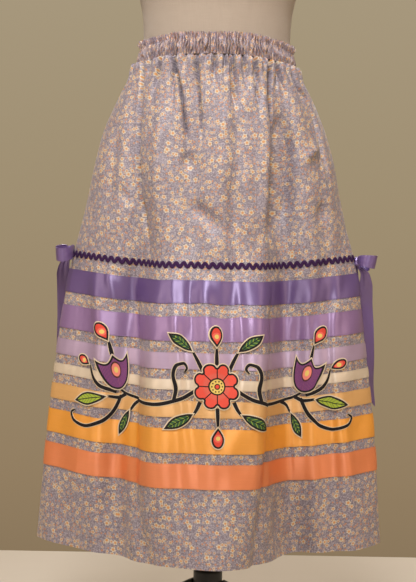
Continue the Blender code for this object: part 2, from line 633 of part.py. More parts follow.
# ------------------------------------------------------------ applique
def outline(piece):
    """Outline of one applique piece, across and down from its middle."""
    if piece["kind"] == "rosette":
        flat = [(r * math.cos(a), r * math.sin(a)) for r, a in
                ((1.0 if k % 2 else 0.80, math.pi * k / 8) for k in range(16))]
    elif piece["kind"] == "tulip":
        flat = [(0.0, 1.0), (-0.62, 0.75), (-0.92, 0.10), (-0.98, -0.95), (-0.45, -0.45),
                (0.0, -1.0), (0.45, -0.45), (0.98, -0.95), (0.92, 0.10), (0.62, 0.75)]
    else:
        flat = LEAF if piece["kind"] == "leaf" else BUD
    c, s = math.cos(math.radians(piece["turn"])), math.sin(math.radians(piece["turn"]))
    return [(c * a * piece["size_across"] - s * b * piece["size_down"],
             s * a * piece["size_across"] + c * b * piece["size_down"]) for a, b in flat]


def clip(poly, limit, keep):
    """Part of a flat polygon on one side of a column line."""
    kept = []
    for p, q in zip(poly, poly[1:] + poly[:1]):
        inside_p, inside_q = keep * (p[0] - limit) >= 0, keep * (q[0] - limit) >= 0
        if inside_p:
            kept.append(p)
        if inside_p != inside_q:
            t = (limit - p[0]) / (q[0] - p[0])
            kept.append((limit, p[1] + t * (q[1] - p[1])))
    return kept


def build_applique(grid, normals):
    off = GAP + RIBBON_THICK + APPLIQUE_GAP
    under = grid + off * normals
    over = grid + (off + APPLIQUE_THICK) * normals
    for piece in APPLIQUE:
        scale = COLUMNS / SPRAY_WIDTH
        ring = [(COLUMNS / 2 + (piece["across"] + a) * scale, piece["down"] + d)
                for a, d in outline(piece)]
        middle = (COLUMNS / 2 + piece["across"] * scale, piece["down"])
        spots, faces = {}, []

        def spot(p):
            key = (round(p[0], 6), round(p[1], 7))
            return spots.setdefault(key, len(spots))

        for p, q in zip(ring, ring[1:] + ring[:1]):
            tri = [middle, p, q]
            low = math.floor(min(v[0] for v in tri))
            high = math.ceil(max(v[0] for v in tri))
            for column in range(low, high):
                part = clip(clip(tri, column, 1), column + 1, -1)
                ids = []
                for v in part:
                    n = spot(v)
                    if n not in ids:
                        ids.append(n)
                for k in range(1, len(ids) - 1):
                    faces.append((ids[0], ids[k], ids[k + 1]))
        keys = list(spots)
        n = len(keys)
        points = ([on_facets(over, c, d) for c, d in keys]
                  + [on_facets(under, c, d) for c, d in keys])
        edges = {(f[k], f[(k + 1) % 3]) for f in faces for k in range(3)}
        walls = [(b, a, a + n, b + n) for a, b in edges if (b, a) not in edges]
        shell = faces + [tuple(v + n for v in f[::-1]) for f in faces] + walls
        solid("applique_" + piece["name"], points, shell, piece["colour"], 0.7)


# ------------------------------------------------------------ form and stand
def build_form():
    loft("form_torso", [form_ring(r["z"], 0.0, FORM_COLUMNS) for r in FORM],
         (0.62, 0.56, 0.47), 0.9)
    loft("form_cap", [turned(r["radius"], r["z"], 16) for r in CAP], (0.02, 0.02, 0.02), 0.5)


def turned(radius, z, count):
    return [(radius * math.sin(2 * math.pi * i / count),
             -radius * math.cos(2 * math.pi * i / count), z) for i in range(count)]


def build_stand():
    black = (0.012, 0.012, 0.013)
    top = FORM[0]["z"] - GAP
    loft("stand_pole", [turned(POLE_RADIUS, z, 16) for z in (HUB_HIGH + GAP, top)],
         black, 0.4, 0.6)
    loft("stand_hub", [turned(r, z, 20) for r, z in
                       ((0.018, HUB_LOW), (HUB_RADIUS, HUB_LOW + 0.005),
                        (HUB_RADIUS, HUB_HIGH - 0.006), (0.0185, HUB_HIGH))], black, 0.4, 0.6)
    for number, turn in enumerate(LEG_TURNS, 1):
        build_leg(f"stand_leg_{number}", math.radians(turn), black)


def build_leg(name, turn, colour):
    way = np.array([math.cos(turn), math.sin(turn), 0])
    side = np.array([-math.sin(turn), math.cos(turn), 0])
    rings = []
    for r in LEG:
        trim = min(0.003, 0.3 * (r["high"] - r["low"]))
        ring = []
        for s, z in ((-1, r["low"]), (1, r["low"]), (1, r["high"] - trim), (0.6, r["high"]),
                     (-0.6, r["high"]), (-1, r["high"] - trim)):
            ring.append(way * r["reach"] + side * s * r["half"] + np.array([0, 0, z]))
        rings.append(ring)
    loft_open(name, rings, colour, 0.4, 0.6)


def main():
    for thing in list(bpy.data.objects):
        bpy.data.objects.remove(thing, do_unlink=True)
    drape = Drape()
    grid, normals = cloth_grid(drape)
    build_panels(grid, normals)
    build_casing()
    build_ribbons(grid, normals)
    build_rickrack(grid, normals)
    for knot in KNOTS:
        build_bow(drape, knot)
    build_applique(grid, normals)
    build_form()
    build_stand()


main()
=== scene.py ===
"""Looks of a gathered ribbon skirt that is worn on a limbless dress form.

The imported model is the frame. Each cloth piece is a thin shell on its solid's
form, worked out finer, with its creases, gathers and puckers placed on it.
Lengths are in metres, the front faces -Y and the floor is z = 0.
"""
from __future__ import annotations

import logging
import math
import random
from collections.abc import Iterator
from contextlib import contextmanager
from dataclasses import dataclass, field
from enum import Enum

import bpy
import numpy as np
from mathutils import Matrix, Vector

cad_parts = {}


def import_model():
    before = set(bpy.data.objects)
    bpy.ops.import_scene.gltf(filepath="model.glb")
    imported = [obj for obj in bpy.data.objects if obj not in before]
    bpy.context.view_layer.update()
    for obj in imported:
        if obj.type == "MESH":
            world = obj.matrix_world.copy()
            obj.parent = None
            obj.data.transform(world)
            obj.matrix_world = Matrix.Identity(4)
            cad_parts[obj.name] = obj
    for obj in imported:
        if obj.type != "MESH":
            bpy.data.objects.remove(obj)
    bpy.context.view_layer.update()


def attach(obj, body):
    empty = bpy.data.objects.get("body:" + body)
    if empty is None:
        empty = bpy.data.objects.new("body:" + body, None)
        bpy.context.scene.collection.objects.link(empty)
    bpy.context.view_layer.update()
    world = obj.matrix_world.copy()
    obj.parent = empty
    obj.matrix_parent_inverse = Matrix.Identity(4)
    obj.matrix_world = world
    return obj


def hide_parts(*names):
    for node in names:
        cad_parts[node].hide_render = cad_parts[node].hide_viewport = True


LOG = logging.getLogger("ribbon_skirt")
BODY = "root"
SEAM_Z = 0.9992
BRAID_DROP = 0.340
Colour = tuple[float, float, float]
Route = tuple[tuple[float, float], ...]
Material = bpy.types.Material
Object = bpy.types.Object
Socket = bpy.types.NodeSocket
Feed = Socket | float | tuple | None


# ---- choices
class Panel(Enum):
    """The two cut panels of the skirt."""

    FRONT = "front"
    BACK = "back"


class Side(Enum):
    """The viewer's side of the skirt, with its sign along X."""

    LEFT = -1.0
    RIGHT = 1.0

    @property
    def word(self) -> str:
        """Name used in the nodes."""
        return self.name.lower()


class Motif(Enum):
    """Kinds of cut flower piece."""

    ROSETTE = "rosette"
    TULIP = "tulip"
    LEAF = "leaf"
    BUD = "bud"


class Hold(Enum):
    """How a sheet of cloth is held."""

    HUNG = "hung"
    LAID = "laid"
    GATHERED = "gathered"
    FOLDED = "folded"


# ---- rows of sizes
@dataclass(frozen=True)
class Section:
    """Worn section at one drop below the casing seam."""

    drop: float
    half_width: float
    front: float
    back: float
    front_lobe: float
    back_lobe: float
    seam_forward: float
    take_front: float
    take_side: float


@dataclass(frozen=True)
class Lobe:
    """Broad fold that stands out between two edges, given at FOLD_DROPS."""

    panel: Panel
    left: tuple[float, ...]
    left_soft: tuple[float, ...]
    right: tuple[float, ...]
    right_soft: tuple[float, ...]


@dataclass(frozen=True)
class Fold:
    """Narrower fold: its place across and its stand, given at FOLD_DROPS."""

    panel: Panel
    place: tuple[float, ...]
    stand: tuple[float, ...]
    width: float


@dataclass(frozen=True)
class Crease:
    """Soft trough or ridge on a panel.

    The route's points are across from the panel's middle and down from the
    casing seam. A negative stand is a trough. Lean makes one flank steeper.
    """

    stand: float
    width: float
    lean: float
    route: Route


@dataclass(frozen=True)
class Gather:
    """Trough that starts at the casing seam."""

    across: float
    depth: float
    width: float
    length: float
    slant: float = 0.0


@dataclass(frozen=True)
class FormRing:
    """Half width and depths of the dress form at one height."""

    height: float
    half_width: float
    front: float
    back: float


@dataclass(frozen=True)
class Band:
    """Satin ribbon sewn round the skirt."""

    name: str
    top: float
    width: float
    colour: Colour


@dataclass(frozen=True)
class Piece:
    """Cut flower piece: across from the panel's middle, down from the seam."""

    name: str
    kind: Motif
    across: float
    down: float
    size_across: float
    size_down: float
    turn: float


def metres(sizes: tuple[float, ...]) -> tuple[float, ...]:
    """Sizes that are written down in millimetres."""
    return tuple(size / 1000 for size in sizes)


# Drop, sizes and lobes in millimetres, and two shares of cloth that is taken up.
SECTIONS = tuple(Section(*metres(row[:7]), *row[7:]) for row in (
    (0, 129, 97, 100, 0, 0, 0, 0.005, 0.022),
    (25, 141, 101.5, 112, 0, 0, 0, 0.005, 0.022),
    (50, 154.5, 104.5, 122, 1, 1, 0, 0.005, 0.022),
    (94, 171, 106, 132, 3, 3, 1, 0.008, 0.022),
    (173, 195, 106, 139, 9, 9, 3, 0.01, 0.022),
    (265, 213, 103, 136, 19, 20, 6, 0.01, 0.022),
    (340, 230, 100, 129, 32, 30, 10, 0.008, 0.01),
    (400, 241, 99, 124, 51, 37, 13, 0.008, 0.004),
    (450, 248, 99, 120, 65, 42, 16, 0.006, 0.004),
    (560, 261, 97, 112, 76, 54, 22, 0.006, 0.004),
    (680, 272, 96, 110, 80, 66, 28, 0.008, 0.004),
    (808, 281.5, 101, 116, 96, 80, 34, 0.01, 0.004),
))
FOLD_DROPS = (0.0, 0.165, 0.34, 0.66, 0.808)
LOBES = (
    Lobe(Panel.FRONT, (-0.86, -0.63, -0.44, -0.46, -0.42), (0.1, 0.09, 0.07, 0.12, 0.18),
         (0.56, 0.46, 0.4, 0.34, 0.3), (0.07, 0.05, 0.045, 0.07, 0.1)),
    Lobe(Panel.BACK, (-0.6, -0.52, -0.42, -0.4, -0.42), (0.1, 0.08, 0.07, 0.09, 0.1),
         (0.66, 0.6, 0.5, 0.47, 0.45), (0.1, 0.08, 0.06, 0.08, 0.1)),
)
FOLDS = (
    Fold(Panel.FRONT, (-0.9, -0.66, -0.5, -0.5, -0.47),
         (-0.004, -0.01, -0.012, -0.014, -0.01), 0.085),
    Fold(Panel.FRONT, (-0.95, -0.86, -0.72, -0.68, -0.68), (0, 0.002, 0.006, 0.01, 0.01), 0.13),
    Fold(Panel.FRONT, (0.66, 0.55, 0.49, 0.48, 0.5),
         (-0.002, -0.013, -0.014, -0.022, -0.036), 0.11),
    Fold(Panel.FRONT, (0.8, 0.76, 0.66, 0.63, 0.66), (0, 0.004, 0.004, 0.006, 0.004), 0.09),
    Fold(Panel.FRONT, (0.88, 0.86, 0.78, 0.72, 0.72), (0, -0.003, -0.004, -0.008, -0.01), 0.06),
    Fold(Panel.FRONT, (0.96, 0.94, 0.9, 0.84, 0.84), (0, 0.001, 0.004, 0.008, 0.01), 0.09),
    Fold(Panel.FRONT, (-0.3, -0.2, -0.12, -0.16, -0.18),
         (-0.001, -0.006, -0.005, -0.005, -0.004), 0.08),
    Fold(Panel.FRONT, (0.02, 0.02, 0.02, 0.02, 0.02), (0, 0.003, 0.003, 0.004, 0.006), 0.12),
    Fold(Panel.FRONT, (0.22, 0.16, 0.15, 0.18, 0.18),
         (-0.001, -0.005, -0.005, -0.004, -0.003), 0.07),
    Fold(Panel.BACK, (-0.72, -0.64, -0.53, -0.5, -0.52),
         (-0.002, -0.01, -0.014, -0.018, -0.024), 0.1),
    Fold(Panel.BACK, (-0.9, -0.84, -0.76, -0.72, -0.72), (0, 0.003, 0.006, 0.012, 0.024), 0.11),
    Fold(Panel.BACK, (0.78, 0.7, 0.62, 0.58, 0.57), (-0.002, -0.008, -0.012, -0.016, -0.02), 0.09),
    Fold(Panel.BACK, (0.94, 0.88, 0.82, 0.78, 0.78), (0, 0.002, 0.006, 0.012, 0.02), 0.1),
    Fold(Panel.BACK, (0.05, 0.05, 0.02, 0.04, 0.06),
         (-0.002, -0.006, -0.01, -0.014, -0.016), 0.12),
)
FORM_SECTIONS = tuple(FormRing(*metres(row)) for row in (
    (735, 140, 88, 102), (745, 146, 93, 108), (800, 155, 89, 116), (850, 156, 90, 119),
    (900, 148, 90, 114), (950, 135.5, 90.5, 105), (980, 128, 91.5, 99), (1000, 125, 92.5, 95.5),
    (1034.5, 121, 90.5, 93), (1070, 122.5, 91, 92.5), (1120, 133, 99, 97), (1180, 146, 112, 103),
    (1230, 152, 122, 107), (1280, 152, 118, 109), (1330, 154, 100, 108), (1370, 160, 86, 100),
    (1395, 153, 76, 89), (1418, 118, 67, 78), (1440, 68, 56, 65), (1470, 53, 50, 56),
    (1505, 50, 48, 52),
))
BANDS = (
    Band("purple", 0.3650, 0.0380, (0.118, 0.064, 0.210)),
    Band("lavender", 0.4240, 0.0380, (0.240, 0.134, 0.305)),
    Band("lilac", 0.4796, 0.0254, (0.395, 0.286, 0.425)),
    Band("cream", 0.5205, 0.0160, (0.655, 0.545, 0.420)),
    Band("tan", 0.5531, 0.0254, (0.680, 0.375, 0.128)),
    Band("gold", 0.5955, 0.0380, (0.790, 0.320, 0.026)),
    Band("coral", 0.6500, 0.0380, (0.705, 0.202, 0.060)),
)
# Stand and width in millimetres, lean, and the route's points in millimetres.
CREASES = {panel: tuple(Crease(*metres(row[:2]), row[2], tuple(metres(spot) for spot in row[3:]))
                        for row in rows) for panel, rows in {
    Panel.FRONT: (
        # Long folds of the upper skirt.
        (-6.2, 3.6, 0.5, (-132, 0), (-136, 112), (-137, 168), (-132, 240), (-120, 300),
         (-114, 345)),
        (-7, 4, -0.8, (87, 0), (90, 56), (92, 96), (99, 136), (96, 184), (98, 240), (102, 330)),
        (3.4, 10, 0, (72, 20), (78, 96), (84, 136), (82, 260), (86, 340)),
        (-5, 2.4, 0.8, (-72, 0), (-66, 22), (-58, 56), (-50, 118), (-46, 170)),
        (-4.2, 2.1, 0.8, (-36, 0), (-30, 40), (-26, 104), (-24, 150)),
        (-4, 8, 0, (-49, 158), (-45, 176), (-43, 190)),
        (-3.8, 2.1, 0.6, (18, 0), (22, 30), (30, 90)),
        (-4.4, 2.2, 0.6, (54, 0), (60, 30), (70, 92)),
        (-3.4, 2.2, 0, (98, 0), (101, 24), (104, 60)),
        (-4.4, 3.8, 0, (118, 6), (146, 40), (166, 60), (184, 96), (192, 128), (200, 160),
         (212, 205), (214, 236)),
        (-2.4, 3.6, 0, (190, 150), (195, 172), (196, 202)),
        (3.6, 6, 0, (154, 172), (170, 162), (192, 146)),
        (-4, 11, 0, (-52, 242), (-30, 250), (-12, 262), (6, 280), (24, 306)),
        (-3.4, 11, 0, (188, 246), (198, 258), (206, 278)),
        (-8.6, 19, -0.5, (116, 90), (118, 150), (120, 230), (118, 320)),
        (3, 12, 0, (-86, 70), (-94, 160), (-90, 260), (-84, 330)),
        (2.6, 15, 0, (12, 60), (18, 140), (16, 230)),
        (-2.2, 13, 0, (-176, 110), (-184, 190), (-192, 290)),
        (-1.8, 7, 0, (-172, 224), (-158, 236), (-150, 252)),
        (2.4, 11, 0, (48, 170), (54, 240), (58, 320)),
        (-2, 9, 0, (22, 196), (30, 262), (28, 322)),
        # Upright crests and hollows of the ribboned skirt.
        (3.4, 13, 0, (-216, 330), (-227, 392), (-230, 560), (-229, 680), (-232, 808)),
        (1.6, 7, 0, (-198, 360), (-196, 410)),
        (-3.4, 12, 0, (-158, 350), (-164, 384), (-160, 560), (-150, 700), (-126, 808)),
        (2.6, 8.5, 0, (-68, 352), (-67, 384), (-62, 470), (-56, 560), (-46, 672), (-40, 780)),
        (-1.8, 8, 0, (-40, 360), (-40, 410), (-34, 480)),
        (3, 12, 0, (-18, 350), (-16, 376), (-10, 460), (-6, 540)),
        (2.8, 9.5, 0, (36, 340), (38, 376), (40, 470), (36, 560), (30, 660)),
        (-3, 10, 0, (94, 340), (104, 390), (108, 550), (84, 704), (66, 808)),
        (3.2, 10.5, 0, (166, 340), (169, 384), (176, 520), (185, 672), (190, 800)),
        (-2.6, 11, 0, (206, 350), (210, 420), (222, 560), (232, 700), (240, 808)),
        (3, 10, 0, (240, 350), (243, 392), (256, 540), (272, 680), (280, 800)),
        (-1.6, 14, 0, (10, 560), (4, 660), (0, 780)),
        (-2.4, 14, 0, (128, 700), (140, 750), (150, 806)),
    ),
    Panel.BACK: (
        # Long folds of the upper skirt.
        (-6, 6.5, 0, (-120, 0), (-128, 100), (-132, 190), (-128, 300), (-122, 345)),
        (-5.6, 6, 0.5, (110, 0), (116, 80), (122, 180), (124, 310)),
        (3, 8, 0, (96, 30), (102, 150), (106, 310)),
        (-3.6, 4.2, 0, (-78, 0), (-70, 60), (-64, 130)),
        (-3, 3.6, 0, (-36, 0), (-32, 60), (-28, 96)),
        (-3.4, 4, 0, (6, 0), (8, 70), (12, 160)),
        (-2.8, 3.6, 0, (44, 0), (50, 70), (54, 112)),
        (-2.6, 3.6, 0, (82, 0), (88, 50)),
        (-4.2, 5.2, 0, (-150, 30), (-172, 80), (-188, 140), (-198, 210)),
        (-3.6, 5.2, 0, (152, 40), (170, 90), (184, 160)),
        (3.4, 6, 0, (-168, 180), (-150, 168), (-134, 160)),
        (-3.2, 12, 0, (-20, 236), (6, 250), (26, 280)),
        (-3, 11, 0, (166, 226), (176, 250), (180, 284)),
        (2.6, 14, 0, (-52, 90), (-46, 180), (-44, 290)),
        (2.6, 14, 0, (64, 110), (70, 200), (70, 300)),
        # Upright crests and hollows of the ribboned skirt.
        (3, 9, 0, (-240, 340), (-246, 440), (-262, 600), (-276, 790)),
        (-3, 11, 0, (-200, 350), (-206, 450), (-216, 620), (-226, 800)),
        (3, 8, 0, (-168, 340), (-172, 460), (-182, 640), (-190, 790)),
        (2.8, 7, 0, (-60, 350), (-60, 470), (-52, 640), (-46, 780)),
        (2.6, 8, 0, (22, 350), (30, 450), (34, 560)),
        (3, 9, 0, (76, 345), (80, 480), (90, 640), (100, 790)),
        (-2.8, 11, 0, (136, 345), (142, 480), (146, 640), (150, 800)),
        (3, 8, 0, (188, 345), (200, 480), (212, 660), (220, 790)),
        (2.6, 9, 0, (246, 350), (262, 540), (282, 780)),
    ),
}.items()}
# Place across, depth, width and length in millimetres, and for some a slant.
GATHERS = {panel: tuple(Gather(*metres(row[:4]), *row[4:]) for row in rows) for panel, rows in {
    Panel.FRONT: (
        (-168, 3.4, 4, 30), (-154, 4, 4.2, 26), (-111, 4.4, 4, 18), (-87, 4.8, 3.6, 34),
        (-64, 4.6, 3.6, 40, 0.1), (-48, 3, 3.4, 12), (-30, 4.6, 3.6, 34, 0.08),
        (-16, 2.6, 3.2, 12), (-3, 4.2, 3.6, 26), (12, 3.6, 3.4, 22), (25, 4.6, 3.4, 36),
        (41, 4, 3.6, 26), (59, 4.6, 3.4, 40), (73, 2.6, 3.4, 14), (99, 4.4, 3.6, 32),
        (116, 3.4, 3.6, 18), (128, 4.8, 4.2, 38), (146, 4, 4, 26), (164, 3.8, 4, 34),
    ),
    Panel.BACK: (
        (-164, 3.8, 4, 30), (-146, 4.4, 4.2, 24), (-102, 4.4, 4, 34), (-92, 2.6, 3.4, 14),
        (-58, 4.2, 3.6, 26), (-22, 4.6, 3.6, 36), (-10, 2.8, 3.4, 12), (20, 4, 3.6, 24),
        (32, 3.6, 3.4, 18), (64, 4.6, 3.4, 38), (98, 3.6, 3.6, 22), (132, 4.6, 4, 32),
        (148, 3.4, 3.8, 20), (166, 3.8, 4, 30),
    ),
}.items()}
# Name, kind, place and size in millimetres, and turn in degrees.
PIECES = tuple(Piece(*row[:2], *metres(row[2:6]), row[6]) for row in (
    ("rosette", Motif.ROSETTE, 0, 530, 38, 38, 0),
    ("tulip_left", Motif.TULIP, -205, 520, 28, 31, -18),
    ("tulip_right", Motif.TULIP, 205, 520, 28, 31, 18),
    ("leaf_1", Motif.LEAF, -60, 585, 29, 12, 152),
    ("leaf_2", Motif.LEAF, 60, 585, 29, 12, 28),
    ("leaf_3", Motif.LEAF, -246, 567, 32, 14, 165),
    ("leaf_4", Motif.LEAF, 246, 567, 32, 14, 15),
    ("leaf_5", Motif.LEAF, -56, 464, 27, 11, 215),
    ("leaf_6", Motif.LEAF, 56, 464, 27, 11, -35),
    ("leaf_7", Motif.LEAF, -184, 598, 26, 11, 115),
    ("leaf_8", Motif.LEAF, 184, 598, 26, 11, 65),
    ("bud_1", Motif.BUD, -230, 458, 19, 14.5, 235),
    ("bud_2", Motif.BUD, 230, 458, 19, 14.5, -55),
    ("bud_3", Motif.BUD, 0, 454, 19, 15, -90),
    ("bud_4", Motif.BUD, 0, 609, 19, 15, 90),
    ("bud_5", Motif.BUD, -262, 508, 16, 12, 200),
    ("bud_6", Motif.BUD, 262, 508, 16, 12, -20),
))


# ---- curves
def smooth(places: tuple[float, ...] | np.ndarray, values: list[float] | tuple[float, ...],
           at: float | np.ndarray) -> np.ndarray:
    """Read a monotone cubic curve.

    Args:
        places: rising places of the known values.
        values: the known values.
        at: where the curve is read.

    Returns:
        The curve's values there.
    """
    xs, ys = np.asarray(places, float), np.asarray(values, float)
    step = np.diff(xs)
    rise = np.diff(ys) / step
    slope = np.zeros_like(ys)
    slope[0], slope[-1] = rise[0], rise[-1]
    for i in range(1, len(xs) - 1):
        if rise[i - 1] * rise[i] > 0:
            slope[i] = 2 * rise[i - 1] * rise[i] / (rise[i - 1] + rise[i])
    x = np.clip(at, xs[0], xs[-1])
    k = np.clip(np.searchsorted(xs, x) - 1, 0, len(step) - 1)
    t = (x - xs[k]) / step[k]
    return (ys[k] * (1 + 2 * t) * (1 - t) ** 2 + slope[k] * step[k] * t * (1 - t) ** 2
            + ys[k + 1] * t * t * (3 - 2 * t) + slope[k + 1] * step[k] * t * t * (t - 1))


def ease(x: np.ndarray, edge: float, soft: float) -> np.ndarray:
    """Step from 0 to 1 at an edge, as soft as asked."""
    return 0.5 * (1 + np.tanh((x - edge) / soft))


def bell(x: np.ndarray, width: float | np.ndarray) -> np.ndarray:
    """Round bump of height 1."""
    return np.exp(-(x / width) ** 2)


def unit(vectors: np.ndarray) -> np.ndarray:
    """Vectors scaled to length 1."""
    return vectors / np.linalg.norm(vectors, axis=-1, keepdims=True)


def surface_normals(points: np.ndarray) -> np.ndarray:
    """Outward normals of a grid whose rows run down and columns run right."""
    return unit(np.cross(np.gradient(points, axis=0), np.gradient(points, axis=1)))


def run_along(points: np.ndarray) -> np.ndarray:
    """Distance along a line, from its first point to each of its points."""
    return np.concatenate([[0], np.cumsum(np.linalg.norm(np.diff(points, axis=0), axis=1))])


def flat_grid(run: np.ndarray, heights: np.ndarray) -> np.ndarray:
    """Place on the flat cloth of a grid: the run along its rows and the height of each."""
    return np.dstack([np.tile(run, (len(heights), 1)), np.repeat(heights[:, None], len(run), 1)])


def waist_dip(reach: np.ndarray, left: float = 0.006, right: float = 0.011) -> np.ndarray:
    """How far the waist sags, from its middle (0) to its left (-1) or right (1) side."""
    return np.where(reach < 0, left, right) * np.abs(reach) ** 2.5


# ---- worn cloth
@dataclass
class WornForm:
    """Plan and height of the worn cloth, before its fine creases."""

    length: float = 0.808
    levels: int = 325
    columns: int = 420
    samples: int = 1441
    height_blur: float = 1 / 14

    def section(self, drop: float) -> dict[str, float]:
        """Sizes of the section at one drop."""
        drops = tuple(row.drop for row in SECTIONS)
        return {name: float(smooth(drops, [getattr(row, name) for row in SECTIONS], drop))
                for name in Section.__dataclass_fields__ if name != "drop"}

    def plan(self, drop: float, panel: Panel) -> np.ndarray:
        """Plan curve of one panel at one drop.

        Args:
            drop: distance down the cloth from the casing seam.
            panel: which panel.

        Returns:
            Points from seam to seam, evenly spaced along the curve.
        """
        size = self.section(drop)
        angle = np.linspace(-math.pi / 2, math.pi / 2, self.samples)
        across = np.sin(angle)
        facing = 1.0 if panel is Panel.FRONT else -1.0
        out = (size[panel.value] - facing * size["seam_forward"]) * np.cos(angle)
        window = 1 - np.abs(across) ** 14
        for lobe in (row for row in LOBES if row.panel is panel):
            left, left_soft, right, right_soft = (
                float(smooth(FOLD_DROPS, row, drop))
                for row in (lobe.left, lobe.left_soft, lobe.right, lobe.right_soft))
            out += (size[panel.value + "_lobe"] * window * ease(across, left, left_soft)
                    * (1 - ease(across, right, right_soft)))
        for fold in (row for row in FOLDS if row.panel is panel):
            place = float(smooth(FOLD_DROPS, fold.place, drop))
            stand = float(smooth(FOLD_DROPS, fold.stand, drop))
            out += stand * window * bell(across - place, fold.width)
        x, y = size["half_width"] * across, -facing * out - size["seam_forward"]
        if panel is Panel.BACK:
            x, y = x[::-1], y[::-1]
        run = run_along(np.stack([x, y], 1))
        shares = np.arange(self.columns) / self.columns
        return np.stack([np.interp(shares, run / run[-1], x),
                         np.interp(shares, run / run[-1], y)], 1)

    def even_out(self, values: np.ndarray) -> np.ndarray:
        """Let neighbouring columns of the closed ring share their fall.

        Args:
            values: one value for each column.

        Returns:
            The values, blurred round the ring.
        """
        reach = int(self.height_blur * self.columns)
        kernel = np.exp(-0.5 * (np.arange(-3 * reach, 3 * reach + 1) / reach) ** 2)
        padded = np.concatenate([values[-3 * reach:], values, values[:3 * reach]])
        return np.convolve(padded, kernel / kernel.sum(), "valid")

    def drape(self) -> tuple[np.ndarray, np.ndarray]:
        """Hang the cloth from the casing seam.

        Returns:
            The drops of the levels, and the points of the closed ring at each:
            the front's columns and then the back's.
        """
        drops = np.linspace(0, self.length, self.levels)
        plan = np.array([np.concatenate([self.plan(d, panel) for panel in Panel]) for d in drops])
        height = np.full(plan.shape[:2], SEAM_Z)
        for j in range(1, self.levels):
            step = drops[j] - drops[j - 1]
            sideways = np.hypot(*(plan[j] - plan[j - 1]).T)
            fall = np.sqrt(np.maximum(step ** 2 - sideways ** 2, (0.6 * step) ** 2))
            size = self.section(drops[j])
            sideness = (plan[j, :, 0] / size["half_width"]) ** 2
            take_up = size["take_front"] + sideness * (size["take_side"] - size["take_front"])
            height[j] = height[j - 1] - self.even_out(fall * (1 - take_up))
        return drops, np.dstack([plan, height])


def form_radii(height: np.ndarray, facing_front: np.ndarray) -> tuple[np.ndarray, np.ndarray]:
    """Half width and depth of the dress form.

    Args:
        height: heights above the floor.
        facing_front: where the front's depth is wanted, and not the back's.

    Returns:
        The half width and the depth, towards the side asked for.
    """
    heights = tuple(ring.height for ring in FORM_SECTIONS)
    half, front, back = (smooth(heights, [getattr(ring, name) for ring in FORM_SECTIONS], height)
                         for name in ("half_width", "front", "back"))
    return half, np.where(facing_front, front, back)


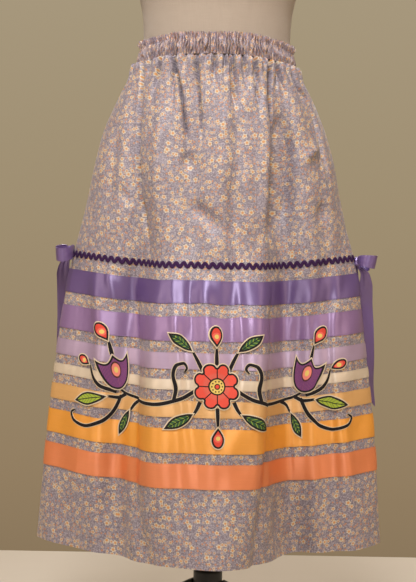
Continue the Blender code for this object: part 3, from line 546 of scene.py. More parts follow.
@dataclass
class Cloth:
    """Creased outer face of one panel, which all that lies on it follows."""

    panel: Panel
    drops: np.ndarray
    points: np.ndarray
    hem_stitch: float = 0.786
    hem_dent: float = 0.0005
    hem_pucker: float = 0.0004
    hem_pitch: float = 0.013
    seam_dent: float = 0.0004
    puff: float = 0.0090
    puff_drop: float = 0.009
    crease_strength: float = 1.9
    gather_strength: float = 2.9
    gather_narrow: float = 0.56
    tuck_pitch: float = 0.0072
    tuck_depth: float = 0.0024
    tuck_fade: float = 0.010
    dip_fade: float = 0.070
    form_gap: float = 0.0018
    low_waves: float = 0.3

    def __post_init__(self) -> None:
        """Measure the plain surface and add the relief to it."""
        columns = self.points.shape[1]
        self.shares = np.linspace(0, 1, columns)
        across = np.linalg.norm(np.diff(self.points, axis=1), axis=2).sum(1)
        self.spans = across
        self.u = (self.shares[None, :] - 0.5) * across[:, None]
        self.v = np.repeat(self.drops[:, None], columns, 1)
        self.points = self.points + self.relief()[..., None] * surface_normals(self.points)
        reach = self.points[..., 0] / np.abs(self.points[..., 0]).max(1)[:, None]
        self.points[..., 2] -= waist_dip(reach) * bell(self.v, self.dip_fade)
        self.rest_on_form()
        self.normals = surface_normals(self.points)

    def rest_on_form(self) -> None:
        """Where the cloth would pass into the dress form, let it lie on it."""
        x, y, z = self.points[..., 0], self.points[..., 1], self.points[..., 2]
        half, depth = form_radii(z, y < 0)
        reach = np.hypot(x / (half + self.form_gap), y / (depth + self.form_gap))
        push = np.where(z > FORM_SECTIONS[0].height - 0.004, np.maximum(1, 1 / reach), 1.0)
        self.points[..., :2] *= push[..., None]

    def relief(self) -> np.ndarray:
        """How far each point stands off the plain surface.

        Returns:
            The stand of each point.
        """
        low = self.v / self.puff_drop
        out = self.puff * (low * np.exp(1 - low)) ** 0.7
        for gather in GATHERS[self.panel]:
            middle = gather.across * self.spans[:, None] / self.spans[0] + gather.slant * self.v
            width = self.gather_narrow * gather.width * (1 + 0.9 * self.v / gather.length)
            out -= self.gather_strength * gather.depth * bell(self.u - middle, width) * bell(
                self.v, gather.length * 1.5)
        ripple = 1 - 2 * np.abs(np.sin(math.pi * self.u / self.tuck_pitch
                                       + 1.3 * np.sin(61 * self.u))) ** 0.8
        out -= self.tuck_depth * ripple * np.exp(-self.v / self.tuck_fade)
        for crease in CREASES[self.panel]:
            out += self.crease_relief(crease)
        out += self.soft_waves()
        under_stitch = self.v - self.hem_stitch
        out -= self.hem_dent * bell(under_stitch, 0.0016)
        pucker = np.sin(math.tau * self.u / self.hem_pitch + 3 * np.sin(17 * self.u))
        out += self.hem_pucker * pucker * bell(under_stitch - 0.009, 0.008)
        edge = np.minimum(self.shares, 1 - self.shares)
        return (out * np.clip(edge / 0.02, 0, 1)[None, :]
                - self.seam_dent * bell(edge, 0.006)[None, :])

    def crease_relief(self, crease: Crease) -> np.ndarray:
        """Stand of one crease: round across its route, fading at its ends.

        Args:
            crease: the trough or ridge.

        Returns:
            Its stand at each point.
        """
        route = np.array(crease.route)
        legs = np.linalg.norm(np.diff(route, axis=0), axis=1)
        done, total = 0.0, legs.sum()
        best = np.full(self.u.shape, 1e9)
        side = np.zeros(self.u.shape)
        along = np.zeros(self.u.shape)
        for (a, b), leg in zip(zip(route, route[1:]), legs):
            way = (b - a) / leg
            du, dv = self.u - a[0], self.v - a[1]
            t = np.clip(du * way[0] + dv * way[1], 0, leg)
            off_u, off_v = du - t * way[0], dv - t * way[1]
            far = np.hypot(off_u, off_v)
            near = far < best
            best = np.where(near, far, best)
            side = np.where(near, np.sign(off_u * way[1] - off_v * way[0]) * far, side)
            along = np.where(near, (done + t) / total, along)
            done += leg
        fade = np.clip((1 - along) / 0.35, 0, 1) ** 1.2
        if route[0, 1] > 0 and route[-1, 1] < self.drops[-1]:
            fade = fade * np.clip(along / 0.25, 0, 1)
        elif route[0, 1] > 0:
            fade = np.clip(along / 0.25, 0, 1)
        width = crease.width * (0.75 + 0.6 * along)
        return self.crease_strength * crease.stand * fade * bell(best, width) * (
            1 + crease.lean * side / width)

    def soft_waves(self) -> np.ndarray:
        """Slow unevenness that any worn cotton has.

        Returns:
            Its stand at each point.
        """
        dice = random.Random(11 if self.panel is Panel.FRONT else 23)
        out = np.zeros(self.u.shape)
        for _ in range(9):
            across = math.tau / dice.uniform(0.080, 0.190)
            down = math.tau / dice.uniform(0.25, 0.70) * dice.choice((-1, 1))
            out += dice.uniform(0.0003, 0.0008) * np.sin(
                across * self.u + down * self.v + dice.uniform(0, math.tau))
        out *= 1 + self.low_waves * ease(self.v, 0.33, 0.03)
        for _ in range(5):
            across = math.tau / dice.uniform(0.060, 0.110)
            down = math.tau / dice.uniform(0.060, 0.130)
            out += dice.uniform(0.0001, 0.0003) * np.sin(
                across * self.u + down * self.v + dice.uniform(0, math.tau))
        return out

    def read(self, share: np.ndarray, drop: np.ndarray) -> tuple[np.ndarray, np.ndarray]:
        """Find points on the cloth.

        Args:
            share: place from the left seam (0) to the right seam (1).
            drop: distance down the cloth from the casing seam.

        Returns:
            The points and the outward normals there.
        """
        share, drop = np.broadcast_arrays(np.asarray(share, float), np.asarray(drop, float))
        levels, columns = self.points.shape[:2]
        i = np.clip(share * (columns - 1), 0, columns - 1.001)
        j = np.clip(drop / self.drops[-1] * (levels - 1), 0, levels - 1.001)
        i0, j0 = i.astype(int), j.astype(int)
        fi, fj = (i - i0)[..., None], (j - j0)[..., None]

        def mix(grid: np.ndarray) -> np.ndarray:
            """Bilinear value of a grid."""
            return ((1 - fj) * ((1 - fi) * grid[j0, i0] + fi * grid[j0, i0 + 1])
                    + fj * ((1 - fi) * grid[j0 + 1, i0] + fi * grid[j0 + 1, i0 + 1]))

        return mix(self.points), unit(mix(self.normals))

    def span(self, drop: float) -> float:
        """Length across the panel at one drop, seam to seam."""
        return float(np.interp(drop, self.drops, self.spans))


# ---- mesh helpers
def deselect() -> None:
    """Clear the selection, so that an operator acts on its own piece alone."""
    bpy.ops.object.select_all(action="DESELECT")


def focus(piece: Object) -> None:
    """Make one piece the only selected one, and the active one."""
    deselect()
    piece.select_set(True)
    bpy.context.view_layer.objects.active = piece


def apply_modifier(piece: Object, kind: str, **settings: object) -> None:
    """Add one modifier to a piece and apply it.

    Args:
        piece: the piece.
        kind: the modifier's type.
        settings: its options by name.
    """
    focus(piece)
    modifier = piece.modifiers.new(kind.title(), kind)
    for name, value in settings.items():
        setattr(modifier, name, value)
    bpy.ops.object.modifier_apply(modifier=modifier.name)


def name_new(name: str) -> Object:
    """Name the primitive that was added last.

    Args:
        name: the new name.

    Returns:
        The primitive.
    """
    piece = bpy.context.object
    piece.name = piece.data.name = name
    return piece


@contextmanager
def editing(piece: Object) -> Iterator[None]:
    """Edit mode on one piece, with all of it selected.

    Args:
        piece: the piece to edit.
    """
    focus(piece)
    bpy.ops.object.mode_set(mode="EDIT")
    bpy.ops.mesh.select_all(action="SELECT")
    yield
    bpy.ops.object.mode_set(mode="OBJECT")


def face_outward() -> None:
    """Turn all the faces outward, in edit mode."""
    bpy.ops.mesh.select_all(action="SELECT")
    bpy.ops.mesh.normals_make_consistent(inside=False)


def close_seam(piece: Object, reach: float = 0.00002) -> None:
    """Join the vertices that lie on each other."""
    with editing(piece):
        bpy.ops.mesh.remove_doubles(threshold=reach)


def lay_grid(name: str, points: np.ndarray, **maps: np.ndarray) -> Object:
    """Add a grid primitive and shape it.

    Args:
        name: the piece's name.
        points: where its vertices go, in rows down and columns to the right.
        maps: its UV maps by name, each with a pair of values for each vertex.

    Returns:
        The new piece, with its faces outward.
    """
    rows, columns = points.shape[:2]
    deselect()
    bpy.ops.mesh.primitive_grid_add(x_subdivisions=columns - 1, y_subdivisions=rows - 1, size=1.0)
    piece = name_new(name)
    flat = np.empty(len(piece.data.vertices) * 3)
    piece.data.vertices.foreach_get("co", flat)
    column = np.rint((flat[0::3] + 0.5) * (columns - 1)).astype(int)
    row = np.rint((0.5 - flat[1::3]) * (rows - 1)).astype(int)
    piece.data.vertices.foreach_set("co", points[row, column].ravel())
    corner = np.empty(len(piece.data.loops), int)
    piece.data.loops.foreach_get("vertex_index", corner)
    layers = piece.data.uv_layers
    while len(layers) < len(maps):
        layers.new()
    for layer, (title, values) in zip(layers, maps.items()):
        layer.name = title
        layer.data.foreach_set("uv", values[row, column][corner].astype(np.float32).ravel())
    piece.data.update()
    return piece


def shade(piece: Object, degrees: float = 50.0) -> None:
    """Shade a piece smooth, with its sharp edges kept."""
    focus(piece)
    bpy.ops.object.shade_smooth_by_angle(angle=math.radians(degrees))


def give_wall(piece: Object, wall: float, degrees: float = 50.0) -> None:
    """Thicken a sheet inward from its outer face, and shade it smooth."""
    apply_modifier(piece, "SOLIDIFY", thickness=wall, offset=-1.0)
    shade(piece, degrees)


def dress(piece: Object, material: Material, slot: str, *nodes: str) -> Object:
    """Give a finished piece its finish, its body and the solids it stands for.

    Args:
        piece: the finished piece.
        material: its finish.
        slot: the record's material slot. It is not used.
        nodes: the solids that it replaces.

    Returns:
        The same piece.
    """
    if not piece.data.materials:
        piece.data.materials.append(material)
    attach(piece, BODY)
    if nodes:
        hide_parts(*nodes)
    LOG.info("%s: %d faces", piece.name, len(piece.data.polygons))
    return piece


# ---- shader helper
def tint(colour: Colour, share: float, lift: float = 0.0) -> Colour:
    """Colour made darker or lighter."""
    return tuple(min(1.0, share * c + lift) for c in colour)


class Shader:
    """One material, with a short call for each node."""

    def __init__(self, name: str, roughness: float = 0.8, uv: str = "") -> None:
        """Start a material.

        Args:
            name: the material's name.
            roughness: its roughness, where nothing drives it.
            uv: the UV map that its pattern follows, or "" for Object coordinates.
        """
        self.material = bpy.data.materials.new(name)
        self.material.use_nodes = True
        self.nodes = self.material.node_tree.nodes
        self.links = self.material.node_tree.links
        self.surface = self.nodes["Principled BSDF"]
        self.surface.inputs["Roughness"].default_value = roughness
        if uv:
            self.place = self.add("ShaderNodeUVMap", uv_map=uv).outputs["UV"]
        else:
            self.place = self.add("ShaderNodeTexCoord").outputs["Object"]

    def add(self, kind: str, **settings: object) -> bpy.types.Node:
        """Add one node.

        Args:
            kind: its type.
            settings: its options by name.

        Returns:
            The node.
        """
        node = self.nodes.new(kind)
        for name, value in settings.items():
            setattr(node, name, value)
        return node

    def feed(self, socket: Socket, value: Feed) -> None:
        """Link or set one input. A colour is made opaque.

        Args:
            socket: the input.
            value: what feeds it, or None to leave it.
        """
        if isinstance(value, Socket):
            self.links.new(value, socket)
        elif value is not None:
            socket.default_value = (*value, 1.0) if socket.type == "RGBA" else value

    def math(self, operation: str, *values: Feed) -> Socket:
        """Result of a Math node."""
        node = self.add("ShaderNodeMath", operation=operation)
        for socket, value in zip(node.inputs, values):
            self.feed(socket, value)
        return node.outputs[0]

    def vector(self, operation: str, *values: Feed) -> Socket:
        """Vector result of a Vector Math node."""
        node = self.add("ShaderNodeVectorMath", operation=operation)
        for socket, value in zip(node.inputs, values):
            self.feed(socket, value)
        return node.outputs["Value" if operation == "LENGTH" else "Vector"]

    def times(self, *values: Feed) -> Socket:
        """Product of two values."""
        return self.math("MULTIPLY", *values)

    def plus(self, *values: Feed) -> Socket:
        """Sum of two values."""
        return self.math("ADD", *values)

    def minus(self, *values: Feed) -> Socket:
        """First value less the second."""
        return self.math("SUBTRACT", *values)

    def apart(self, *values: Feed) -> Socket:
        """How far apart two values are."""
        return self.math("ABSOLUTE", self.minus(*values))

    def wave(self, value: Feed, pace: float) -> Socket:
        """Sine of a value times its pace."""
        return self.math("SINE", self.times(value, pace))

    def scaled(self, *factors: float) -> Socket:
        """The pattern's place, stretched."""
        return self.vector("MULTIPLY", self.place, tuple(factors))

    def parts(self, vector: Socket) -> list[Socket]:
        """X, Y and Z of a vector."""
        node = self.add("ShaderNodeSeparateXYZ")
        self.feed(node.inputs[0], vector)
        return list(node.outputs)

    def noise(self, vector: Feed, scale: float, detail: float = 2.0,
              rough: float = 0.5) -> Socket:
        """Noise value, from 0 to 1.

        Args:
            vector: where it is read.
            scale: its fineness.
            detail: its octaves.
            rough: the share of each finer octave.

        Returns:
            The value.
        """
        node = self.add("ShaderNodeTexNoise")
        for name, value in (("Vector", vector), ("Scale", scale), ("Detail", detail),
                            ("Roughness", rough)):
            self.feed(node.inputs[name], value)
        return node.outputs["Fac"]

    def within(self, value: Feed, limit: Feed, soft: float) -> Socket:
        """1 where value is under limit and 0 past it, with a soft edge.

        Args:
            value: what is measured.
            limit: the edge.
            soft: width of the edge.

        Returns:
            The share, from 0 to 1.
        """
        gap = self.math("DIVIDE", self.minus(limit, value), soft)
        node = self.add("ShaderNodeMath", operation="ADD", use_clamp=True)
        self.feed(node.inputs[0], gap)
        node.inputs[1].default_value = 0.5
        return node.outputs[0]

    def blend(self, factor: Feed, low: Feed, high: Feed, way: str = "MIX") -> Socket:
        """Mix of two colours.

        Args:
            factor: share of the second.
            low: first colour.
            high: second colour.
            way: how they mix.

        Returns:
            The mixed colour.
        """
        node = self.add("ShaderNodeMix", data_type="RGBA", blend_type=way)
        for index, value in ((0, factor), (6, low), (7, high)):
            self.feed(node.inputs[index], value)
        return node.outputs[2]

    def bump(self, height: Socket, distance: float, strength: float = 1.0) -> None:
        """Add relief, on top of any bump that is there.

        Args:
            height: the relief, from 0 to 1.
            distance: its height.
            strength: its share.
        """
        node = self.add("ShaderNodeBump")
        self.feed(node.inputs["Height"], height)
        node.inputs["Distance"].default_value = distance
        node.inputs["Strength"].default_value = strength
        socket = self.surface.inputs["Normal"]
        if socket.is_linked:
            self.links.new(socket.links[0].from_socket, node.inputs["Normal"])
        self.links.new(node.outputs[0], socket)

    def paint(self, colour: Feed) -> None:
        """Set the base colour."""
        self.feed(self.surface.inputs["Base Color"], colour)

    def set(self, **values: float) -> None:
        """Set shader sockets, whose names are given with underscores."""
        for name, value in values.items():
            title = name.replace("_", " ").title().replace("Ior", "IOR")
            self.surface.inputs[title].default_value = value


# ---- finishes
@dataclass(frozen=True)
class Blossom:
    """One size of scattered flower in the print."""

    spacing: float
    radius: float
    petals: int
    share: float
    petal: Colour
    ring: Colour
    heart: Colour
    offset: tuple[float, float, float]


@dataclass(frozen=True)
class DitsyPrint:
    """Plain-woven cotton, printed with small scattered flowers, with painted shade and a painted
    frill highlight multiplied in where asked.
    """

    name: str = "ditsy_cotton"
    ground: Colour = (0.160, 0.136, 0.164)
    ground_light: Colour = (0.282, 0.250, 0.288)
    stem: Colour = (0.125, 0.097, 0.125)
    speck: Colour = (0.385, 0.335, 0.352)
    # Painted shade multiplied into the print below a height, for the shadows between fine gathers,
    # and a painted highlight above it, for the lit frill.
    tone: Colour = (1.0, 1.0, 1.0)
    frill_tone: Colour = (1.0, 1.0, 1.0)
    frill_from: float = 1.0
    squeeze: float = 1.0
    weave_pace: float = 9000.0
    soft: float = 0.00045
    blossoms: tuple[Blossom, ...] = (
        Blossom(0.0058, 0.0018, 4, 0.48, (0.41, 0.23, 0.15), (0.40, 0.20, 0.11),
                (0.40, 0.15, 0.06), (0.37, 0.81, 0.0)),
        Blossom(0.0080, 0.0028, 5, 0.46, (0.36, 0.31, 0.31), (0.32, 0.25, 0.22),
                (0.42, 0.24, 0.12), (0.11, 0.43, 0.0)),
        Blossom(0.0104, 0.0032, 5, 0.46, (0.47, 0.40, 0.31), (0.38, 0.27, 0.18),
                (0.46, 0.20, 0.07), (0.70, 0.20, 0.0)),
        Blossom(0.0140, 0.0040, 5, 0.52, (0.51, 0.44, 0.34), (0.41, 0.28, 0.16),
                (0.50, 0.22, 0.06), (0.29, 0.57, 0.0)),
    )

    def make(self) -> Material:
        """Build the material.

        Returns:
            The finished material.
        """
        s = Shader(self.name, 0.46, uv="cloth")
        place = s.scaled(self.squeeze, 1.0, 0.0)
        mottle = s.within(s.noise(place, 330.0, 2.0, 0.6), 0.5, 0.16)
        colour = s.blend(mottle, self.ground_light, self.ground)
        vine = s.apart(s.noise(place, 210.0, 1.0), 0.5)
        colour = s.blend(s.times(s.within(vine, 0.030, 0.03), 0.8), colour, self.stem)
        dots = self.scatter(s, place, 0.0034, (0.5, 0.1, 0.0))
        colour = s.blend(s.times(s.within(dots[0], 0.0008, 0.0004), dots[1]), colour, self.speck)
        for blossom in self.blossoms:
            colour = self.flower(s, place, colour, blossom)
        x, y, _ = s.parts(s.place)
        # Painted shade below the frill's height and a painted highlight above it, multiplied into
        # the print colour.
        tone = s.blend(s.within(y, self.frill_from, 0.004), self.frill_tone, self.tone)
        s.paint(s.blend(1.0, colour, tone, "MULTIPLY"))
        s.set(sheen_weight=0.12, sheen_roughness=0.5, specular_ior_level=0.60)
        s.bump(s.times(s.wave(x, self.weave_pace), s.wave(y, self.weave_pace)), 0.00006, 0.5)
        s.bump(s.noise(s.place, 60.0, 4.0, 0.6), 0.0006, 0.35)
        return s.material

    @staticmethod
    def scatter(s: Shader, place: Feed, spacing: float,
                offset: tuple[float, float, float]) -> list[Socket]:
        """Scatter motifs.

        Args:
            s: the material being built.
            place: flat place on the cloth.
            spacing: mean distance between motifs.
            offset: moves the scatter, in spacings.

        Returns:
            Distance from the nearest motif, three random values of that motif,
            and the angle round it.
        """
        spot = s.vector("ADD", s.vector("MULTIPLY", place, (1 / spacing,) * 3), offset)
        cells = s.add("ShaderNodeTexVoronoi", voronoi_dimensions="2D", feature="F1")
        s.feed(cells.inputs["Vector"], spot)
        cells.inputs["Scale"].default_value = 1.0
        cells.inputs["Randomness"].default_value = 0.85
        away = s.vector("SUBTRACT", spot, cells.outputs["Position"])
        x, y, _ = s.parts(s.vector("MULTIPLY", away, (spacing,) * 3))
        far = s.math("SQRT", s.plus(s.times(x, x), s.times(y, y)))
        luck = s.add("ShaderNodeSeparateColor")
        s.feed(luck.inputs[0], cells.outputs["Color"])
        return [far, *luck.outputs, s.math("ARCTAN2", y, x)]

    def flower(self, s: Shader, place: Feed, under: Feed, blossom: Blossom) -> Feed:
        """Paint one size of flower.

        Args:
            s: the material being built.
            place: flat place on the cloth.
            under: colour of what is there.
            blossom: the flower's sizes and colours.

        Returns:
            The colour with the flowers over it.
        """
        far, turn, growth, luck, angle = self.scatter(s, place, blossom.spacing, blossom.offset)
        shown = s.math("LESS_THAN", luck, blossom.share)
        lobes = s.math("COSINE", s.plus(s.times(angle, float(blossom.petals)),
                                        s.times(turn, 6.283)))
        size = s.math("MULTIPLY_ADD", growth, 0.35 * blossom.radius, 0.80 * blossom.radius)
        edge = s.times(size, s.math("MULTIPLY_ADD", lobes, 0.16, 0.86))
        rounds = ((s.plus(edge, 0.0004), 0.6, self.stem), (edge, 1.0, blossom.petal),
                  (s.times(size, 0.56), 0.7, blossom.ring),
                  (s.times(size, 0.40), 1.0, blossom.heart))
        for limit, strength, paint in rounds:
            spot = s.times(s.within(far, limit, self.soft), shown)
            under = s.blend(s.times(spot, strength), under, paint)
        return under


@dataclass(frozen=True)
class Satin:
    """Woven satin ribbon with firm edges and a line of stitches at each."""

    name: str
    colour: Colour
    width: float
    stitched: bool = True
    roughness: float = 0.47
    stitch_in: float = 0.0017
    stitch_pitch: float = 0.0027

    def make(self) -> Material:
        """Build the material.

        Returns:
            The finished material.
        """
        s = Shader(self.name, self.roughness, uv="cloth")
        x, y, _ = s.parts(s.place)
        warp = s.noise(s.scaled(14.0, 2600.0, 0.0), 1.0, 3.0, 0.7)
        cloud = s.noise(s.scaled(30.0, 60.0, 0.0), 1.0, 2.0)
        dark, light = tint(self.colour, 0.80), tint(self.colour, 1.15, 0.01)
        colour = s.blend(s.math("MULTIPLY_ADD", warp, 0.8, 0.1), dark, light)
        colour = s.blend(s.times(cloud, 0.25), colour, light)
        edge = s.math("MINIMUM", y, s.minus(self.width, y))
        colour = s.blend(s.times(s.within(edge, 0.0009, 0.0004), 0.45), colour, dark)
        if self.stitched:
            line = s.within(s.apart(edge, self.stitch_in), 0.00028, 0.0002)
            step = s.math("FRACT", s.math("DIVIDE", x, self.stitch_pitch))
            dash = s.math("LESS_THAN", step, 0.66)
            colour = s.blend(s.times(s.times(line, dash), 0.6), colour, dark)
            s.bump(s.times(line, s.minus(0.3, dash)), 0.0003, 0.8)
        s.paint(colour)
        s.bump(warp, 0.00008, 0.6)
        s.set(metallic=0.28, anisotropic=0.72, anisotropic_rotation=0.25, ior=1.6,
              specular_ior_level=1.0)
        tangent = s.add("ShaderNodeTangent", direction_type="UV_MAP", uv_map="cloth")
        s.links.new(tangent.outputs[0], s.surface.inputs["Tangent"])
        return s.material


@dataclass(frozen=True)
class Braid:
    """Woven zigzag braid with a raised chevron."""

    name: str = "rickrack_braid"
    colour: Colour = (0.030, 0.008, 0.048)
    pick: float = 0.0011
    strand: float = 0.0016

    def make(self) -> Material:
        """Build the material.

        Returns:
            The finished material.
        """
        s = Shader(self.name, 0.70, uv="cloth")
        x, y, _ = s.parts(s.place)
        chevron = s.plus(x, s.math("ABSOLUTE", y))
        rib = s.wave(chevron, math.tau / self.pick)
        spine = s.wave(y, math.tau / self.strand)
        factor = s.math("MULTIPLY_ADD", rib, 0.22, s.math("MULTIPLY_ADD", spine, 0.12, 0.36))
        s.paint(s.blend(factor, self.colour, tint(self.colour, 1.9, 0.006)))
        s.bump(s.plus(rib, spine), 0.00025, 0.8)
        s.set(specular_ior_level=0.2)
        return s.material


@dataclass(frozen=True)
class CutCotton:
    """Cut cotton piece: coloured field, black line inside a pale stitched rim."""

    name: str
    field_colour: Colour
    accent: Colour
    motif: Motif
    rim_colour: Colour = (0.660, 0.545, 0.385)
    line_colour: Colour = (0.012, 0.010, 0.012)
    heart_colour: Colour = (0.690, 0.520, 0.140)
    rim: float = 0.0016
    line: float = 0.0044

    def make(self) -> Material:
        """Build the material.

        Returns:
            The finished material.
        """
        s = Shader(self.name, 0.78, uv="rim")
        inset, angle, _ = s.parts(s.place)
        cut = s.add("ShaderNodeUVMap", uv_map="cloth").outputs["UV"]
        wobble = s.math("MULTIPLY_ADD", s.noise(cut, 900.0, 2.0), 0.0005, -0.00025)
        inset = s.plus(inset, wobble)
        fleck = s.noise(cut, 700.0, 2.0, 0.6)
        colour = s.blend(fleck, tint(self.field_colour, 0.75), self.field_colour)
        colour = getattr(self, "fill_" + self.motif.value)(s, colour, cut)
        colour = s.blend(s.within(inset, self.line, 0.0003), colour, self.line_colour)
        rim = s.within(inset, self.rim, 0.0003)
        colour = s.blend(rim, colour, self.rim_colour)
        stitch = s.math("GREATER_THAN", s.math("SINE", angle), 0.25)
        colour = s.blend(s.times(s.times(rim, stitch), 0.35), colour, tint(self.rim_colour, 0.55))
        s.paint(colour)
        s.bump(s.plus(s.times(rim, 1.5), fleck), 0.0002, 0.7)
        s.set(specular_ior_level=0.2)
        return s.material

    @staticmethod
    def discs(s: Shader, colour: Feed, far: Feed, *rows: tuple[float, float, Colour]) -> Feed:
        """Paint discs over each other.

        Args:
            s: the material being built.
            colour: what is there.
            far: distance from their middle.
            rows: reach, soft edge and colour of each disc.

        Returns:
            The new colour.
        """
        for reach, soft, paint in rows:
            colour = s.blend(s.within(far, reach, soft), colour, paint)
        return colour

    def fill_rosette(self, s: Shader, colour: Feed, cut: Socket) -> Feed:
        """Eight petals round a dotted heart.

        Args:
            s: the material being built.
            colour: what is there.
            cut: flat place on the piece.

        Returns:
            The new colour.
        """
        x, y, _ = s.parts(cut)
        far, turn = s.vector("LENGTH", cut), s.math("ARCTAN2", y, x)
        spoke = s.math("ABSOLUTE", s.wave(turn, 4.0))
        tip = s.within(s.minus(0.031, far), 0.0105, 0.004)
        colour = s.blend(s.times(tip, 0.75), colour, self.accent)
        petal_line = s.within(s.times(spoke, far), 0.0034, 0.0004)
        colour = s.blend(petal_line, colour, self.line_colour)
        colour = self.discs(s, colour, far, (0.0135, 0.0004, self.line_colour),
                            (0.0112, 0.0004, self.heart_colour))
        dots = s.math("GREATER_THAN", s.math("COSINE", s.times(turn, 10.0)), 0.25)
        ring = s.within(s.apart(far, 0.0082), 0.0011, 0.0003)
        colour = s.blend(s.times(ring, dots), colour, self.line_colour)
        return self.discs(s, colour, far, (0.0046, 0.0003, self.line_colour),
                          (0.0030, 0.0003, self.accent))

    def fill_tulip(self, s: Shader, colour: Feed, cut: Socket) -> Feed:
        """Three veined petals with a pale throat.

        Args:
            s: the material being built.
            colour: what is there.
            cut: flat place on the piece.

        Returns:
            The new colour.
        """
        x, y, _ = s.parts(cut)
        spread, rise = s.math("ABSOLUTE", x), s.times(s.minus(y, 0.004), 0.6)
        cup = s.math("SQRT", s.plus(s.times(spread, spread), s.math("POWER", rise, 2.0)))
        colour = self.discs(s, colour, cup, (0.0082, 0.0006, self.line_colour),
                            (0.0066, 0.0006, self.accent))
        vein = s.math("GREATER_THAN", s.wave(spread, 3400.0), 0.5)
        colour = s.blend(s.times(vein, 0.22), colour, self.accent)
        return self.discs(s, colour, cup, (0.0030, 0.0006, self.heart_colour))

    def fill_leaf(self, s: Shader, colour: Feed, cut: Socket) -> Feed:
        """Midrib with side veins.

        Args:
            s: the material being built.
            colour: what is there.
            cut: flat place on the piece.

        Returns:
            The new colour.
        """
        x, y, _ = s.parts(cut)
        side = s.math("ABSOLUTE", y)
        slant = s.minus(x, s.times(side, 1.1))
        vein = s.within(s.apart(s.math("FRACT", s.times(slant, 150.0)), 0.5), 0.10, 0.05)
        colour = s.blend(s.times(vein, 0.7), colour, self.accent)
        return self.discs(s, colour, side, (0.0007, 0.0003, self.line_colour))

    def fill_bud(self, s: Shader, colour: Feed, cut: Socket) -> Feed:
        """Round pale core.

        Args:
            s: the material being built.
            colour: what is there.
            cut: flat place on the piece.

        Returns:
            The new colour.
        """
        return self.discs(s, colour, s.vector("LENGTH", cut), (0.0062, 0.0005, self.accent),
                          (0.0034, 0.0005, self.heart_colour))


@dataclass(frozen=True)
class StemCotton:
    """Black cut stem with pale stitched edges."""

    name: str = "applique_stem"
    rim_colour: Colour = (0.660, 0.545, 0.385)
    line_colour: Colour = (0.012, 0.010, 0.012)
    half: float = 0.0030
    thread_pace: float = 5200.0

    def make(self) -> Material:
        """Build the material.

        Returns:
            The finished material.
        """
        s = Shader(self.name, 0.8, uv="cloth")
        x, y, _ = s.parts(s.place)
        rim = s.minus(1.0, s.within(s.math("ABSOLUTE", y), self.half, 0.0003))
        s.paint(s.blend(rim, self.line_colour, self.rim_colour))
        s.bump(s.plus(s.wave(x, self.thread_pace), rim), 0.0002, 0.6)
        s.set(specular_ior_level=0.2)
        return s.material


@dataclass(frozen=True)
class Linen:
    """Plain linen cover of the dress form."""

    name: str = "form_linen"
    colour: Colour = (0.370, 0.302, 0.236)
    thread: float = 0.0011

    def make(self) -> Material:
        """Build the material.

        Returns:
            The finished material.
        """
        s = Shader(self.name, 0.88, uv="cloth")
        x, y, _ = s.parts(s.place)
        pace = math.tau / self.thread
        slub_x = s.noise(s.scaled(1100.0, 30.0, 0.0), 1.0, 2.0)
        slub_y = s.noise(s.scaled(30.0, 1100.0, 0.0), 1.0, 2.0)
        weave = s.times(s.wave(x, pace), s.wave(y, pace))
        mixed = s.times(s.plus(slub_x, slub_y), 0.5)
        dark = tint(self.colour, 0.72)
        colour = s.blend(mixed, dark, self.colour)
        s.paint(s.blend(s.times(s.noise(s.place, 14.0), 0.12), colour, dark))
        s.bump(s.plus(weave, s.times(mixed, 2.0)), 0.00018, 0.6)
        s.set(sheen_weight=0.2, sheen_roughness=0.6)
        return s.material


@dataclass(frozen=True)
class BlackMetal:
    """Cast iron under satin black paint, rubbed a little at its edges."""

    name: str = "stand_black_metal"
    colour: Colour = (0.014, 0.014, 0.015)
    worn: Colour = (0.075, 0.072, 0.068)

    def make(self) -> Material:
        """Build the material.

        Returns:
            The finished material.
        """
        s = Shader(self.name, 0.38)
        grain = s.noise(s.place, 420.0, 4.0, 0.65)
        patch = s.noise(s.place, 28.0, 3.0)
        geometry = s.add("ShaderNodeNewGeometry")
        edge = s.within(s.minus(0.56, geometry.outputs["Pointiness"]), 0.0, 0.03)
        factor = s.times(s.times(edge, patch), 0.8)
        s.paint(s.blend(factor, self.colour, self.worn))
        s.feed(s.surface.inputs["Roughness"], s.math("MULTIPLY_ADD", grain, 0.25, 0.28))
        s.bump(grain, 0.0004, 0.35)
        s.set(metallic=0.2)
        return s.material


@dataclass(frozen=True)
class TurnedWood:
    """Black lacquered wood of the neck cap."""

    name: str = "cap_black_lacquer"

    def make(self) -> Material:
        """Build the material.

        Returns:
            The finished material.
        """
        s = Shader(self.name, 0.32)
        grain = s.noise(s.scaled(90.0, 90.0, 700.0), 1.0, 3.0)
        s.paint(s.blend(grain, (0.010, 0.009, 0.009), (0.028, 0.024, 0.022)))
        s.bump(grain, 0.0003, 0.3)
        s.set(coat_weight=0.4, coat_roughness=0.15)
        return s.material


